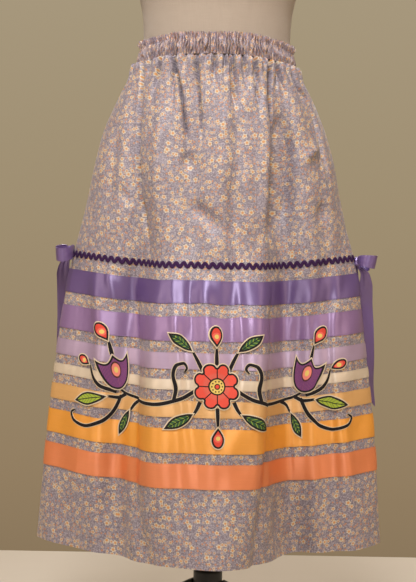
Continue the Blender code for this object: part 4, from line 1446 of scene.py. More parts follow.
# ---- skirt
@dataclass
class PrintedPanels:
    """Front and back panel of printed cotton."""

    columns: int = 300
    rows_above: int = 42
    rows_between: int = 94
    rows_hem: int = 16
    gathered: float = 0.070
    hem: float = 0.772
    wall: float = 0.0012
    flat: tuple[float, float] = (0.785, 0.808)
    finish: DitsyPrint = field(default_factory=DitsyPrint)

    def build(self) -> dict[Panel, Cloth]:
        """Make both panels.

        Returns:
            The creased faces, on which the trims lie.
        """
        drops, ring = WornForm().drape()
        wide = ring.shape[1] // 2
        material = self.finish.make()
        cloths = {}
        for panel in Panel:
            first = 0 if panel is Panel.FRONT else wide
            picks = (first + np.arange(wide + 1)) % (2 * wide)
            cloths[panel] = Cloth(panel, drops, ring[:, picks])
            self.build_panel(cloths[panel], material)
        return cloths

    def build_panel(self, cloth: Cloth, material: Material) -> None:
        """Make one panel, with more rows where it is gathered and at its hem.

        Args:
            cloth: its creased face.
            material: its finish.
        """
        down = np.concatenate([
            np.linspace(0, self.gathered, self.rows_above, endpoint=False),
            np.linspace(self.gathered, self.hem, self.rows_between, endpoint=False),
            np.linspace(self.hem, cloth.drops[-1], self.rows_hem)])
        across = np.linspace(0, 1, self.columns)
        points, _ = cloth.read(across[None, :], down[:, None])
        spans = np.array([cloth.span(d) for d in down])
        uv = np.dstack([(across[None, :] - 0.5) * spans[:, None] + 0.5,
                        np.repeat(1.0 - down[:, None], self.columns, 1)])
        piece = lay_grid(f"cloth_skirt_{cloth.panel.value}", points, cloth=uv)
        give_wall(piece, self.wall)
        dress(piece, material, "print_cotton", f"skirt_{cloth.panel.value}")


@dataclass(frozen=True)
class Sway:
    """Sine round the waist: its size, its turns, and its shift."""

    size: float
    turns: float
    shift: float

    def at(self, angle: np.ndarray, rise: float = 1.0) -> np.ndarray:
        """Value round the waist. Where a rise is given, the shift grows with it."""
        return self.size * np.sin(self.turns * angle + self.shift * rise)


@dataclass
class GatheredCasing:
    """Elastic casing: gathered round the waist, with a frill above its stitching."""

    columns: int = 1801
    rows: int = 24
    gathers: int = 150
    rise: tuple[float, float] = (0.0004, 0.0345)
    stitched: float = 0.0245
    wall: float = 0.0009
    least_stand: float = 0.0017
    fullness: float = 1.9
    flat: tuple[float, float] = (1.10, 0.0345)
    uneven: tuple[int, ...] = (3, 5, 8, 13, 21, 34, 55, 71)
    swell: tuple[Sway, ...] = (Sway(0.25, 17, 1), Sway(0.20, 29, 2), Sway(0.30, 47, 4))
    wander: tuple[Sway, ...] = (Sway(0.8, 23, 230), Sway(0.7, 41, -340), Sway(0.5, 67, 420))
    swell_drift: Sway = Sway(0.35, 31, 260)
    frill_drift: Sway = Sway(0.9, 11, 0)
    frill_edge: Sway = Sway(0.0008, 7, 2)
    frill_ragged: float = 0.0013
    stand_rises: tuple[float, ...] = (0.0, 0.0012, 0.0120, 0.0235, 0.0255, 0.0345)
    stands: tuple[float, ...] = (0.0040, 0.0038, 0.0054, 0.0036, 0.0030, 0.0062)
    waves: tuple[float, ...] = (0.0020, 0.0020, 0.0028, 0.0022, 0.0017, 0.0034)

    def build(self) -> None:
        """Make the casing."""
        dice = random.Random(5)
        turns = np.linspace(0, math.tau, self.columns)
        phase = self.gathers * turns
        for k in self.uneven:
            phase = phase + dice.uniform(0.35, 0.85) * np.sin(k * turns + dice.uniform(0, 6.28))
        swell = 1 + sum(sway.at(turns) for sway in self.swell)
        rises = np.linspace(*self.rise, self.rows)[::-1]
        half, front = form_radii(SEAM_Z + rises, np.full(self.rows, True))
        _, back = form_radii(SEAM_Z + rises, np.full(self.rows, False))
        angle = turns + math.pi
        grid = np.zeros((self.rows, self.columns, 3))
        for j, rise in enumerate(rises):
            top = np.clip((rise - self.stitched) / (self.rise[1] - self.stitched), 0, 1)
            wander = phase + sum(sway.at(turns, rise) for sway in self.wander)
            crest = np.abs(np.sin(wander / 2)) ** 0.75 * 2 - 1.15
            frill = np.abs(np.sin((wander + self.frill_drift.at(turns)) / 2)) ** 0.8 * 2 - 1.1
            stand = (np.interp(rise, self.stand_rises, self.stands)
                     + np.interp(rise, self.stand_rises, self.waves)
                     * (swell + self.swell_drift.at(turns, rise))
                     * ((1 - top) * crest + top * frill))
            stand = np.maximum(stand, self.least_stand)
            depth = np.where(np.cos(angle) >= 0, front[j], back[j])
            nx, ny = np.sin(angle) / half[j], -np.cos(angle) / depth
            size = np.hypot(nx, ny)
            grid[j, :, 0] = half[j] * np.sin(angle) + stand * nx / size
            grid[j, :, 1] = -depth * np.cos(angle) + stand * ny / size
            ragged = self.frill_ragged * frill + self.frill_edge.at(turns) * top
            grid[j, :, 2] = SEAM_Z + rise + top ** 2 * ragged - waist_dip(-np.sin(turns))
        grid[:, -1] = grid[:, 0]
        piece = lay_grid("cloth_waist_casing", grid, cloth=flat_grid(run_along(grid[0]), rises))
        close_seam(piece)
        give_wall(piece, self.wall, 70.0)
        # The casing's print is darkened with painted shade for the shadows between its gathers,
        # and its frill is lightened with a painted highlight.
        finish = DitsyPrint(name="ditsy_cotton_casing", squeeze=self.fullness,
                            tone=(0.86, 0.79, 0.79), frill_tone=(1.35, 1.30, 1.38),
                            frill_from=0.026)
        dress(piece, finish.make(), "print_cotton", "waist_casing")


@dataclass
class SatinBands:
    """Fourteen satin ribbons, seven colours on each panel."""

    cloths: dict[Panel, Cloth]
    columns: int = 380
    rows: int = 7
    stand: float = 0.00045
    crown: float = 0.0004
    wall: float = 0.0004
    inset: float = 0.0006
    pucker: float = 0.00010
    pucker_pitch: tuple[float, float] = (0.010, 0.020)
    lazy: float = 0.00006
    lazy_pitch: tuple[float, float] = (0.030, 0.090)

    def build(self) -> None:
        """Make every ribbon."""
        for band in BANDS:
            material = Satin(f"satin_{band.name}", band.colour, band.width).make()
            for panel in Panel:
                self.build_band(band, self.cloths[panel], material)

    def build_band(self, band: Band, cloth: Cloth, material: Material) -> None:
        """Make one ribbon on one panel, puckered where it is stitched.

        Args:
            band: the ribbon.
            cloth: the panel under it.
            material: its finish.
        """
        dice = random.Random(f"{band.name} {cloth.panel.value}")
        span = cloth.span(band.top + band.width / 2)
        ends = self.inset / span
        across = np.linspace(ends, 1 - ends, self.columns)
        tall = np.linspace(0, 1, self.rows)
        points, normals = cloth.read(across[None, :], (band.top + tall * band.width)[:, None])
        run = (across - across[0]) * span
        edge = np.minimum(tall, 1 - tall) * band.width
        body = 1 - np.exp(-edge / 0.0035)
        pucker, lazy = (
            sum(np.sin(run * math.tau / dice.uniform(*pitch) + dice.uniform(0, 6.28))
                for _ in range(3))
            for pitch in (self.pucker_pitch, self.lazy_pitch))
        stand = (self.stand + self.wall + self.crown * body[:, None]
                 + self.pucker * pucker[None, :] * np.exp(-edge / 0.006)[:, None]
                 + self.lazy * lazy[None, :] * body[:, None])
        stand = np.maximum(stand, self.stand + self.wall)
        piece = lay_grid(f"satin_{band.name}_{cloth.panel.value}",
                         points + stand[..., None] * normals,
                         cloth=flat_grid(run, (1 - tall) * band.width))
        give_wall(piece, self.wall)
        dress(piece, material, f"satin_{band.name}", f"ribbon_{band.name}_{cloth.panel.value}")


@dataclass
class ZigzagBraid:
    """Rickrack braid round the skirt, one length on each panel."""

    cloths: dict[Panel, Cloth]
    swing: float = 0.0034
    half: float = 0.0027
    waves: int = 50
    steps: int = 16
    rows: int = 7
    stand: float = 0.0004
    thick: float = 0.0013
    wall: float = 0.0006
    inset: float = 0.0008

    def build(self) -> None:
        """Make both lengths."""
        material = Braid().make()
        for panel in Panel:
            self.build_length(self.cloths[panel], material)

    def build_length(self, cloth: Cloth, material: Material) -> None:
        """Make the braid of one panel, round across its strand.

        Args:
            cloth: the panel under it.
            material: its finish.
        """
        span = cloth.span(BRAID_DROP)
        count = self.waves * self.steps + 1
        across = np.linspace(self.inset, 1 - self.inset, count)
        wave = np.sin(math.tau * self.waves * across)
        middle = BRAID_DROP + self.swing * np.sign(wave) * np.abs(wave) ** 0.85
        slope = np.gradient(middle, across * span)
        way = unit(np.stack([np.ones(count), slope], 1))
        side = np.linspace(-1, 1, self.rows)
        u = across[None, :] - side[:, None] * self.half * way[None, :, 1] / span
        v = middle[None, :] + side[:, None] * self.half * way[None, :, 0]
        points, normals = cloth.read(np.clip(u, 0, 1), v)
        crown = self.stand + self.thick * np.sqrt(np.maximum(1 - 0.75 * side ** 2, 0.0))
        run = run_along(np.stack([across * span, middle], 1))
        piece = lay_grid(f"braid_rickrack_{cloth.panel.value}",
                         points + crown[:, None, None] * normals,
                         cloth=flat_grid(run, -side * self.half))
        give_wall(piece, self.wall, 60.0)
        dress(piece, material, "rickrack", f"rickrack_{cloth.panel.value}")


# ---- bows
@dataclass(frozen=True)
class Knot:
    """Place of a bow's knot from the side seam."""

    side: Side
    out: float
    ahead: float
    up: float


@dataclass(frozen=True)
class Loop:
    """One loop of a bow, from its knot."""

    side: Side
    name: str
    out: float
    ahead: float
    start: float
    reach: float
    droop: float
    fat: float


@dataclass(frozen=True)
class Tail:
    """One tail: drop, out and ahead of the knot in millimetres, and its width's turn."""

    side: Side
    name: str
    stations: tuple[tuple[float, float, float, float], ...]


KNOTS = (Knot(Side.LEFT, -0.0001, 0.006, 0.005), Knot(Side.RIGHT, 0.0008, 0.006, -0.006))
LOOPS = (
    Loop(Side.LEFT, "front", 0.20, 0.98, 0.0064, 0.048, 0.012, 0.46),
    Loop(Side.LEFT, "back", 0.30, -0.95, 0.0064, 0.046, 0.010, 0.46),
    Loop(Side.RIGHT, "front", 0.80, 0.60, 0.0064, 0.034, 0.004, 0.62),
    Loop(Side.RIGHT, "back", 0.50, -0.87, 0.0062, 0.040, 0.008, 0.50),
)
TAILS = (
    Tail(Side.LEFT, "long", ((7.5, 4.2, 2, 10), (30, 12.1, -12, 8), (60, 14, -34, 4),
        (110, 16.6, -64, 4), (170, 20.5, -90, 6), (225, 22.8, -106, 10), (268, 24.5, -115, 12))),
    Tail(Side.LEFT, "short", ((7.5, 0.6, -5.5, 85), (35, 7.3, -30, 80), (80, 9.3, -68, 70),
        (140, 8.3, -100, 50), (195, 7.3, -122, 40), (235, 6.3, -133, 36))),
    Tail(Side.RIGHT, "long", ((7.5, 4.4, 2, 10), (20, 13.8, 0, 0), (45, 16.8, -10, 0),
        (74, 18.8, -20, 0), (112, 23, -24, -18), (158, 27.5, -28, -44), (215, 31.5, -32, -58),
        (242, 31.8, -34, -50))),
    Tail(Side.RIGHT, "short", ((7.5, 0.4, -5.5, 85), (40, 5.4, -26, 84), (80, 13.3, -44, 84),
        (120, 19.8, -54, 80), (160, 24.8, -62, 74), (190, 27.3, -68, 70))),
)


@dataclass
class SideBows:
    """Two tied bows of satin ribbon at the ends of the braid."""

    cloths: dict[Panel, Cloth]
    width: float = 0.022
    thick: float = 0.0007
    knot_size: tuple[float, float, float] = (0.0062, 0.0068, 0.0080)
    notch: float = 0.010
    sweep: float = 0.996 * math.pi / 4
    belly: float = 1.6
    rise: float = 0.004
    across: int = 13

    def build(self) -> None:
        """Make both bows."""
        self.satin = Satin("satin_bow", (0.150, 0.088, 0.270), self.width, stitched=False,
                           roughness=0.36).make()
        for knot in KNOTS:
            share = 0.0 if knot.side is Side.LEFT else 1.0
            seam, _ = self.cloths[Panel.FRONT].read(share, BRAID_DROP)
            self.out = np.array([knot.side.value, 0.0, 0.0])
            self.ahead, self.up = np.array([0.0, -1.0, 0.0]), np.array([0.0, 0.0, 1.0])
            self.centre = (seam + (knot.out + self.knot_size[0]) * self.out
                           + knot.ahead * self.ahead + knot.up * self.up)
            self.build_knot(knot.side)
            for loop in (row for row in LOOPS if row.side is knot.side):
                self.build_loop(loop)
            for tail in (row for row in TAILS if row.side is knot.side):
                self.build_tail(tail)

    def build_knot(self, side: Side) -> None:
        """Wrap the knot: a flattened ball with the ribbon's pleats over it.

        Args:
            side: the bow's side.
        """
        deselect()
        bpy.ops.mesh.primitive_uv_sphere_add(segments=40, ring_count=24, radius=1.0)
        piece = name_new(f"bow_{side.word}_wrapped_knot")
        frame_axes = np.stack([self.out, self.ahead, self.up])
        for vertex in piece.data.vertices:
            way = np.array(vertex.co)
            round_part = np.sum(np.abs(way) ** 2.6) ** (-1 / 2.6)
            angle = math.atan2(way[1], way[0])
            pleat = 0.035 * math.sin(9 * way[2] + 1.5 * math.sin(2 * angle)) * (1 - way[2] ** 4)
            spot = way * round_part * (1 + pleat) * np.array(self.knot_size)
            vertex.co = self.centre + spot @ frame_axes
        with editing(piece):
            face_outward()
        layer = piece.data.uv_layers[0]
        layer.name = "cloth"
        for corner in layer.data:
            corner.uv = (corner.uv[0] * 0.042, 0.003 + corner.uv[1] * 0.016)
        shade(piece, 70.0)
        dress(piece, self.satin, "satin_bow", f"bow_{side.word}_knot")

    def ribbon(self, name: str, path: np.ndarray, sides: np.ndarray, halves: np.ndarray,
               curl: np.ndarray) -> Object:
        """Lay a ribbon along a path.

        Args:
            name: the piece's name.
            path: its middle line, or one line for each column across.
            sides: direction of its width at each station.
            halves: half of its width at each station.
            curl: stand of its middle over its edges at each station.

        Returns:
            The ribbon, with its wall.
        """
        share = np.linspace(-1, 1, self.across)
        middle = path if path.ndim == 3 else np.repeat(path[:, None], self.across, 1)
        sides = unit(sides)
        along = np.gradient(middle[:, self.across // 2], axis=0)
        face = unit(np.cross(along, sides))
        pleat = 1 - share[None, :] ** 2 + 0.30 * np.cos(7.5 * share[None, :] + 0.7)
        points = (middle + (share[None, :] * halves[:, None])[..., None] * sides[:, None]
                  + (curl[:, None] * pleat)[..., None] * face[:, None])
        flat = flat_grid((share + 1) / 2 * self.width, run_along(middle[:, self.across // 2]))
        piece = lay_grid(name, points, cloth=flat[..., ::-1])
        apply_modifier(piece, "SOLIDIFY", thickness=self.thick, offset=0.0)
        with editing(piece):
            face_outward()
        shade(piece, 60.0)
        return piece

    def build_tail(self, tail: Tail) -> None:
        """Hang one tail, pinched at the knot and cut to a notch at its end.

        Args:
            tail: its name and stations.
        """
        rows = np.array(tail.stations) / (1000, 1000, 1000, 1)
        count, dice = 72, random.Random(f"{tail.side.word} {tail.name}")
        t = np.linspace(0, 1, count)
        share = np.linspace(-1, 1, self.across)
        first, last = rows[0, 0], rows[-1, 0]
        drops = first + t[:, None] * (last - first - self.notch * (1 - np.abs(share))[None, :])
        out = smooth(rows[:, 0], rows[:, 1], drops)
        ahead = smooth(rows[:, 0], rows[:, 2], drops)
        middle = (self.centre + out[..., None] * self.out + ahead[..., None] * self.ahead
                  - drops[..., None] * self.up)
        place = first + t * (last - first)
        turn = np.radians(smooth(rows[:, 0], rows[:, 3], place))
        turn = turn + 0.10 * np.sin(place * math.tau / 0.085 + dice.uniform(0, 6.28)) * t
        sides = np.cos(turn)[:, None] * self.out + np.sin(turn)[:, None] * self.ahead
        halves = self.width / 2 * np.minimum(1.0, 0.42 + 0.58 * (place - first) / 0.03)
        curl = 0.0026 * np.exp(-(place - first) / 0.02) + 0.0006 * np.sin(place * 40 + 1)
        piece = self.ribbon(f"bow_{tail.side.word}_satin_tail_{tail.name}", middle, sides, halves,
                            curl)
        dress(piece, self.satin, "satin_bow", f"bow_{tail.side.word}_tail_{tail.name}")

    def build_loop(self, loop: Loop) -> None:
        """Bend one loop: a teardrop whose width stands up, pinched at the knot.

        Args:
            loop: its name and sizes.
        """
        way = unit(loop.out * self.out + loop.ahead * self.ahead)
        side = np.cross(self.up, way)
        swing = np.linspace(-1, 1, 91) * self.sweep
        reach = loop.reach * np.sqrt(np.maximum(np.cos(2 * swing), 0.0))
        reach = np.maximum(reach, loop.start)
        far = reach / loop.reach
        path = (self.centre + (reach * np.cos(swing))[:, None] * way
                + (self.belly * loop.fat * reach * np.sin(swing))[:, None] * side
                + (self.rise - loop.droop * far ** 2)[:, None] * self.up)
        halves = self.width / 2 * (0.33 + 0.67 * far ** 0.8)
        sides = self.up + 0.25 * way * far[:, None]
        curl = 0.0022 * np.exp(-far / 0.40)
        piece = self.ribbon(f"bow_{loop.side.word}_satin_loop_{loop.name}", path, sides, halves,
                            curl)
        dress(piece, self.satin, "satin_bow", f"bow_{loop.side.word}_loop_{loop.name}")


# ---- applique
@dataclass
class FlowerSpray:
    """Generic spray of seventeen cut flower pieces, joined by black stems."""

    cloth: Cloth
    spray_width: float = 0.68
    stand: float = 0.0019
    wall: float = 0.0005
    dome: float = 0.0005
    rings: int = 22
    around: int = 121
    stitch: float = 0.0024
    lime_leaves: tuple[str, str] = ("leaf_3", "leaf_4")
    stem_half: float = 0.0040
    stem_stand: float = 0.0016
    outlines: dict[Motif, tuple[tuple[float, float, bool], ...]] = field(default_factory=lambda: {
        Motif.TULIP: (
            (0.0, 1.0, False), (-0.62, 0.75, False), (-0.92, 0.10, False), (-0.98, -0.95, True),
            (-0.45, -0.45, False), (0.0, -1.0, True), (0.45, -0.45, False), (0.98, -0.95, True),
            (0.92, 0.10, False), (0.62, 0.75, False)),
        Motif.LEAF: (
            (-1.0, 0.0, True), (-0.45, -0.75, False), (0.25, -0.95, False), (1.0, 0.0, True),
            (0.35, 0.95, False), (-0.45, 0.70, False)),
        Motif.BUD: (
            (-1.0, 0.0, True), (-0.1, -0.85, False), (0.7, -0.65, False), (1.0, 0.0, False),
            (0.7, 0.65, False), (-0.1, 0.85, False)),
    })
    side_stems: tuple[Route, ...] = (
        ((-30, 536), (-62, 552), (-100, 560), (-145, 558), (-180, 553), (-197, 547)),
        ((-184, 553), (-200, 560), (-217, 559)),
        ((-150, 558), (-164, 564), (-173, 577)),
        ((-194, 556), (-206, 582), (-226, 602), (-250, 611), (-272, 606), (-280, 595),
         (-272, 589)),
        ((-203, 551), (-226, 545), (-240, 531), (-248, 512)),
        ((-214, 492), (-219.5, 472.5)),
        ((-26, 554), (-31, 565), (-37, 574)),
        ((-22, 504), (-28, 492), (-36, 478)),
        ((-68, 555), (-64, 535), (-68, 514), (-63, 499), (-53, 496), (-47, 503), (-52, 510)),
    )
    middle_stems: tuple[Route, ...] = (((0, 497), (0, 472)), ((0, 563), (0, 591)))
    stem_rows: int = 7
    stem_crown: float = 0.0004
    stem_over: float = 0.00001
    tapered: float = 0.06

    def build(self) -> None:
        """Make the seventeen pieces and the stems."""
        green, lime = (0.040, 0.110, 0.045), (0.360, 0.450, 0.050)
        red, coral = (0.690, 0.070, 0.045), (0.700, 0.130, 0.095)
        plum, pink = (0.140, 0.045, 0.170), (0.740, 0.220, 0.170)
        kinds = {
            "rosette": (CutCotton("applique_rosette", coral, red, Motif.ROSETTE), "red"),
            "tulip": (CutCotton("applique_tulip", plum, pink, Motif.TULIP), "plum"),
            "leaf": (CutCotton("applique_leaf_green", green, lime, Motif.LEAF), "green"),
            "lime_leaf": (CutCotton("applique_leaf_lime", lime, green, Motif.LEAF), "lime"),
            "bud": (CutCotton("applique_bud", red, coral, Motif.BUD), "orange"),
        }
        made = {key: finish.make() for key, (finish, _) in kinds.items()}
        for piece in PIECES:
            key = "lime_leaf" if piece.name in self.lime_leaves else piece.kind.value
            self.build_piece(piece, made[key], f"applique_{kinds[key][1]}")
        self.build_stems()

    def outline(self, piece: Piece) -> np.ndarray:
        """Rounded outline of a piece in its own frame.

        Args:
            piece: the row of the piece.

        Returns:
            The closed outline, evenly spaced, in the turn that faces outward.
        """
        if piece.kind is Motif.ROSETTE:
            angle = np.linspace(0, math.tau, self.around)
            radius = 0.80 + 0.20 * np.abs(np.sin(4 * angle)) ** 0.6
            flat = np.stack([radius * np.cos(angle), radius * np.sin(angle)], 1)
        else:
            flat = self.round_off(self.outlines[piece.kind])
        flat = flat * (piece.size_across, piece.size_down)
        if self.area(flat) > 0:
            flat = flat[::-1]
        run = run_along(flat)
        even = np.linspace(0, run[-1], self.around)
        return np.stack([np.interp(even, run, flat[:, 0]), np.interp(even, run, flat[:, 1])], 1)

    @staticmethod
    def area(edge: np.ndarray) -> float:
        """Area inside a closed outline, below 0 for one that turns the other way."""
        return 0.5 * float(np.sum(edge[:-1, 0] * edge[1:, 1] - edge[1:, 0] * edge[:-1, 1]))

    @staticmethod
    def round_off(corners: tuple[tuple[float, float, bool], ...], times: int = 4) -> np.ndarray:
        """Cut the corners off an outline again and again, apart from its sharp tips.

        Args:
            corners: its points, and whether each is sharp.
            times: how often it is cut.

        Returns:
            The closed outline.
        """
        for _ in range(times):
            cut = []
            for (ax, ay, a_sharp), (bx, by, b_sharp) in zip(corners, corners[1:] + corners[:1]):
                if a_sharp:
                    cut.append((ax, ay, True))
                else:
                    cut.append((0.75 * ax + 0.25 * bx, 0.75 * ay + 0.25 * by, False))
                if not b_sharp:
                    cut.append((0.25 * ax + 0.75 * bx, 0.25 * ay + 0.75 * by, False))
            corners = tuple(cut)
        return np.array([(x, y) for x, y, _ in corners + corners[:1]])

    def build_piece(self, piece: Piece, material: Material, slot: str) -> None:
        """Lay one piece on the skirt, domed a little inside its stitched rim.

        Args:
            piece: its row.
            material: its finish.
            slot: the record's material slot.
        """
        edge = self.outline(piece)
        share = (1 - (1 - np.linspace(0, 1, self.rings)) ** 1.35)[:, None, None]
        own = share * edge[None]
        inset = self.distance(own.reshape(-1, 2), edge).reshape(own.shape[:2])
        inset[-1] = 0.0
        c, s = math.cos(math.radians(piece.turn)), math.sin(math.radians(piece.turn))
        across = piece.across + c * own[..., 0] - s * own[..., 1]
        down = piece.down + s * own[..., 0] + c * own[..., 1]
        points, normals = self.cloth.read(0.5 + across / self.spray_width, down)
        stand = self.stand + self.wall + self.dome * (1 - np.exp(-inset / 0.0015))
        turns = np.tile(run_along(edge) * math.tau / self.stitch, (self.rings, 1))
        made = lay_grid(f"flower_{piece.name}", points + stand[..., None] * normals,
                        cloth=own * (1, -1), rim=np.dstack([inset, turns]))
        close_seam(made)
        give_wall(made, self.wall, 60.0)
        dress(made, material, slot, f"applique_{piece.name}")

    @staticmethod
    def distance(spots: np.ndarray, edge: np.ndarray) -> np.ndarray:
        """Distance of flat points from a closed outline.

        Args:
            spots: the points.
            edge: the outline.

        Returns:
            One distance for each point.
        """
        best = np.full(len(spots), 1e9)
        for a, b in zip(edge, edge[1:]):
            leg = b - a
            size = float(leg @ leg)
            if size == 0:
                continue
            t = np.clip((spots - a) @ leg / size, 0, 1)
            best = np.minimum(best, np.linalg.norm(spots - a - t[:, None] * leg, axis=1))
        return best

    def build_stems(self) -> None:
        """Lay the stems, the left ones and their mirrored twins, as one piece."""
        twins = tuple(tuple((-a, d) for a, d in route) for route in self.side_stems)
        routes = self.side_stems + self.middle_stems + twins
        strips = [self.build_stem(number, route) for number, route in enumerate(routes)]
        deselect()
        for strip in strips:
            strip.select_set(True)
        bpy.context.view_layer.objects.active = strips[0]
        bpy.ops.object.join()
        piece = strips[0]
        piece.name = piece.data.name = "flower_stems"
        dress(piece, StemCotton().make(), "applique_green")

    def build_stem(self, number: int, route: Route) -> Object:
        """Lay one stem, tapered towards its end.

        Args:
            number: its place in the spray, so that each lies over the last.
            route: its middle line, in millimetres.

        Returns:
            The stem, with its wall.
        """
        corners = np.array(route) / 1000
        run = run_along(corners)
        count = max(12, int(run[-1] / 0.0022))
        even = np.linspace(0, run[-1], count)
        line = np.stack([smooth(run, corners[:, k], even) for k in (0, 1)], 1)
        way = unit(np.gradient(line, axis=0))
        side = np.linspace(-1, 1, self.stem_rows)
        taper = self.stem_half * (1 - 0.35 * (even / run[-1]) ** 2)
        if run[-1] > self.tapered:
            taper = taper * np.clip((run[-1] - even) / 0.006 + 0.15, 0, 1) ** 0.5
        offset = side[:, None] * taper[None, :]
        across = line[None, :, 0] - offset * way[None, :, 1]
        down = line[None, :, 1] + offset * way[None, :, 0]
        points, normals = self.cloth.read(0.5 + across / self.spray_width, down)
        stand = (self.stem_stand + self.stem_crown * (1 - side ** 2)[:, None]
                 + self.stem_over * number)
        strip = lay_grid(f"stem_{number}", points + stand[..., None] * normals,
                         cloth=flat_grid(even, side * self.stem_half))
        give_wall(strip, self.wall, 60.0)
        return strip


# ---- form and stand
@dataclass
class DressForm:
    """Limbless linen-covered form with a lacquered neck cap."""

    columns: int = 151
    rows: int = 80
    groove: float = 0.0008
    groove_width: float = 0.0022
    waist_tape: float = 1.052
    under_casing: float = 1.010
    mean_radius: float = 0.132
    seams: tuple[float, ...] = (-2.66, -1.5708, -0.47, 0.0, 0.47, 1.5708, 2.66, math.pi)
    cap_profile: Route = (
        (43, 1505.3), (44.2, 1507.5), (44.5, 1511), (43.6, 1513.8), (40, 1516), (29, 1517.6),
        (16.5, 1518.6), (12, 1520.5), (8.8, 1524), (8, 1527), (9.2, 1530), (12.4, 1533),
        (13.1, 1536), (12.2, 1539.5), (9.2, 1542.1), (4.5, 1543))

    def build(self) -> None:
        """Make the torso and the cap."""
        self.build_torso()
        cap = turn_profile("form_neck_cap", self.cap_profile, 64)
        dress(cap, TurnedWood().make(), "black_metal", "form_cap")

    def build_torso(self) -> None:
        """Make the padded torso, grooved along its seams and closed at its ends."""
        z = np.linspace(FORM_SECTIONS[-1].height, FORM_SECTIONS[0].height, self.rows)
        angle = np.linspace(-math.pi, math.pi, self.columns)
        half, depth = form_radii(z[:, None], np.cos(angle)[None, :] >= 0)
        x = half * np.sin(angle)[None, :]
        y = -depth * np.cos(angle)[None, :]
        grid = np.dstack([x, y, np.repeat(z[:, None], self.columns, 1)])
        span = np.hypot(half * np.cos(angle), depth * np.sin(angle))
        dent = np.zeros_like(x)
        for seam in self.seams:
            off = np.abs((angle - seam + math.pi) % math.tau - math.pi)
            dent += self.groove * bell(off[None, :] * span, self.groove_width)
        dent += 0.5 * self.groove * bell(z - self.waist_tape, 0.0025)[:, None]
        clear = 1 - bell(z - self.under_casing, 0.034)[:, None]
        inward = np.stack([-np.sin(angle), np.cos(angle), np.zeros_like(angle)], 1)
        grid = grid + (dent * clear)[..., None] * inward
        top, foot = self.closing(grid[0]), self.closing(grid[-1])[::-1]
        grid = np.concatenate([top, grid, foot])
        grid[:, -1] = grid[:, 0]
        piece = lay_grid("form_linen_torso", grid,
                         cloth=flat_grid(angle * self.mean_radius, grid[:, 0, 2]))
        close_seam(piece)
        shade(piece, 40.0)
        dress(piece, Linen().make(), "form_cover", "form_torso")

    @staticmethod
    def closing(ring: np.ndarray) -> np.ndarray:
        """Rings that close an end, from its pole to the ring.

        Args:
            ring: the last ring.

        Returns:
            The closing rings.
        """
        middle = ring.mean(0)
        middle[2] = ring[0, 2]
        shares = np.array([0.0, 0.25, 0.5, 0.75, 0.94])
        return middle + shares[:, None, None] * (ring - middle)


def turn_profile(name: str, rows: Route, vertices: int) -> Object:
    """Turn a solid by extruding a disc upward through a profile.

    Args:
        name: the piece's name.
        rows: radius and height of each ring, upward, in millimetres.
        vertices: number of points round the disc.

    Returns:
        The closed solid, centred on the pole.
    """
    sizes = [metres(row) for row in rows]
    deselect()
    bpy.ops.mesh.primitive_circle_add(vertices=vertices, radius=sizes[0][0], fill_type="NGON",
                                      location=(0, 0, sizes[0][1]))
    piece = name_new(name)
    bpy.ops.object.transform_apply(location=True, rotation=True, scale=True)
    with editing(piece):
        for (low, bottom), (high, top) in zip(sizes, sizes[1:]):
            bpy.ops.mesh.extrude_region_move(
                TRANSFORM_OT_translate={"value": (0, 0, top - bottom)})
            bpy.ops.transform.resize(value=(high / low, high / low, 1),
                                     center_override=(0, 0, top))
        face_outward()
    shade(piece, 35.0)
    return piece


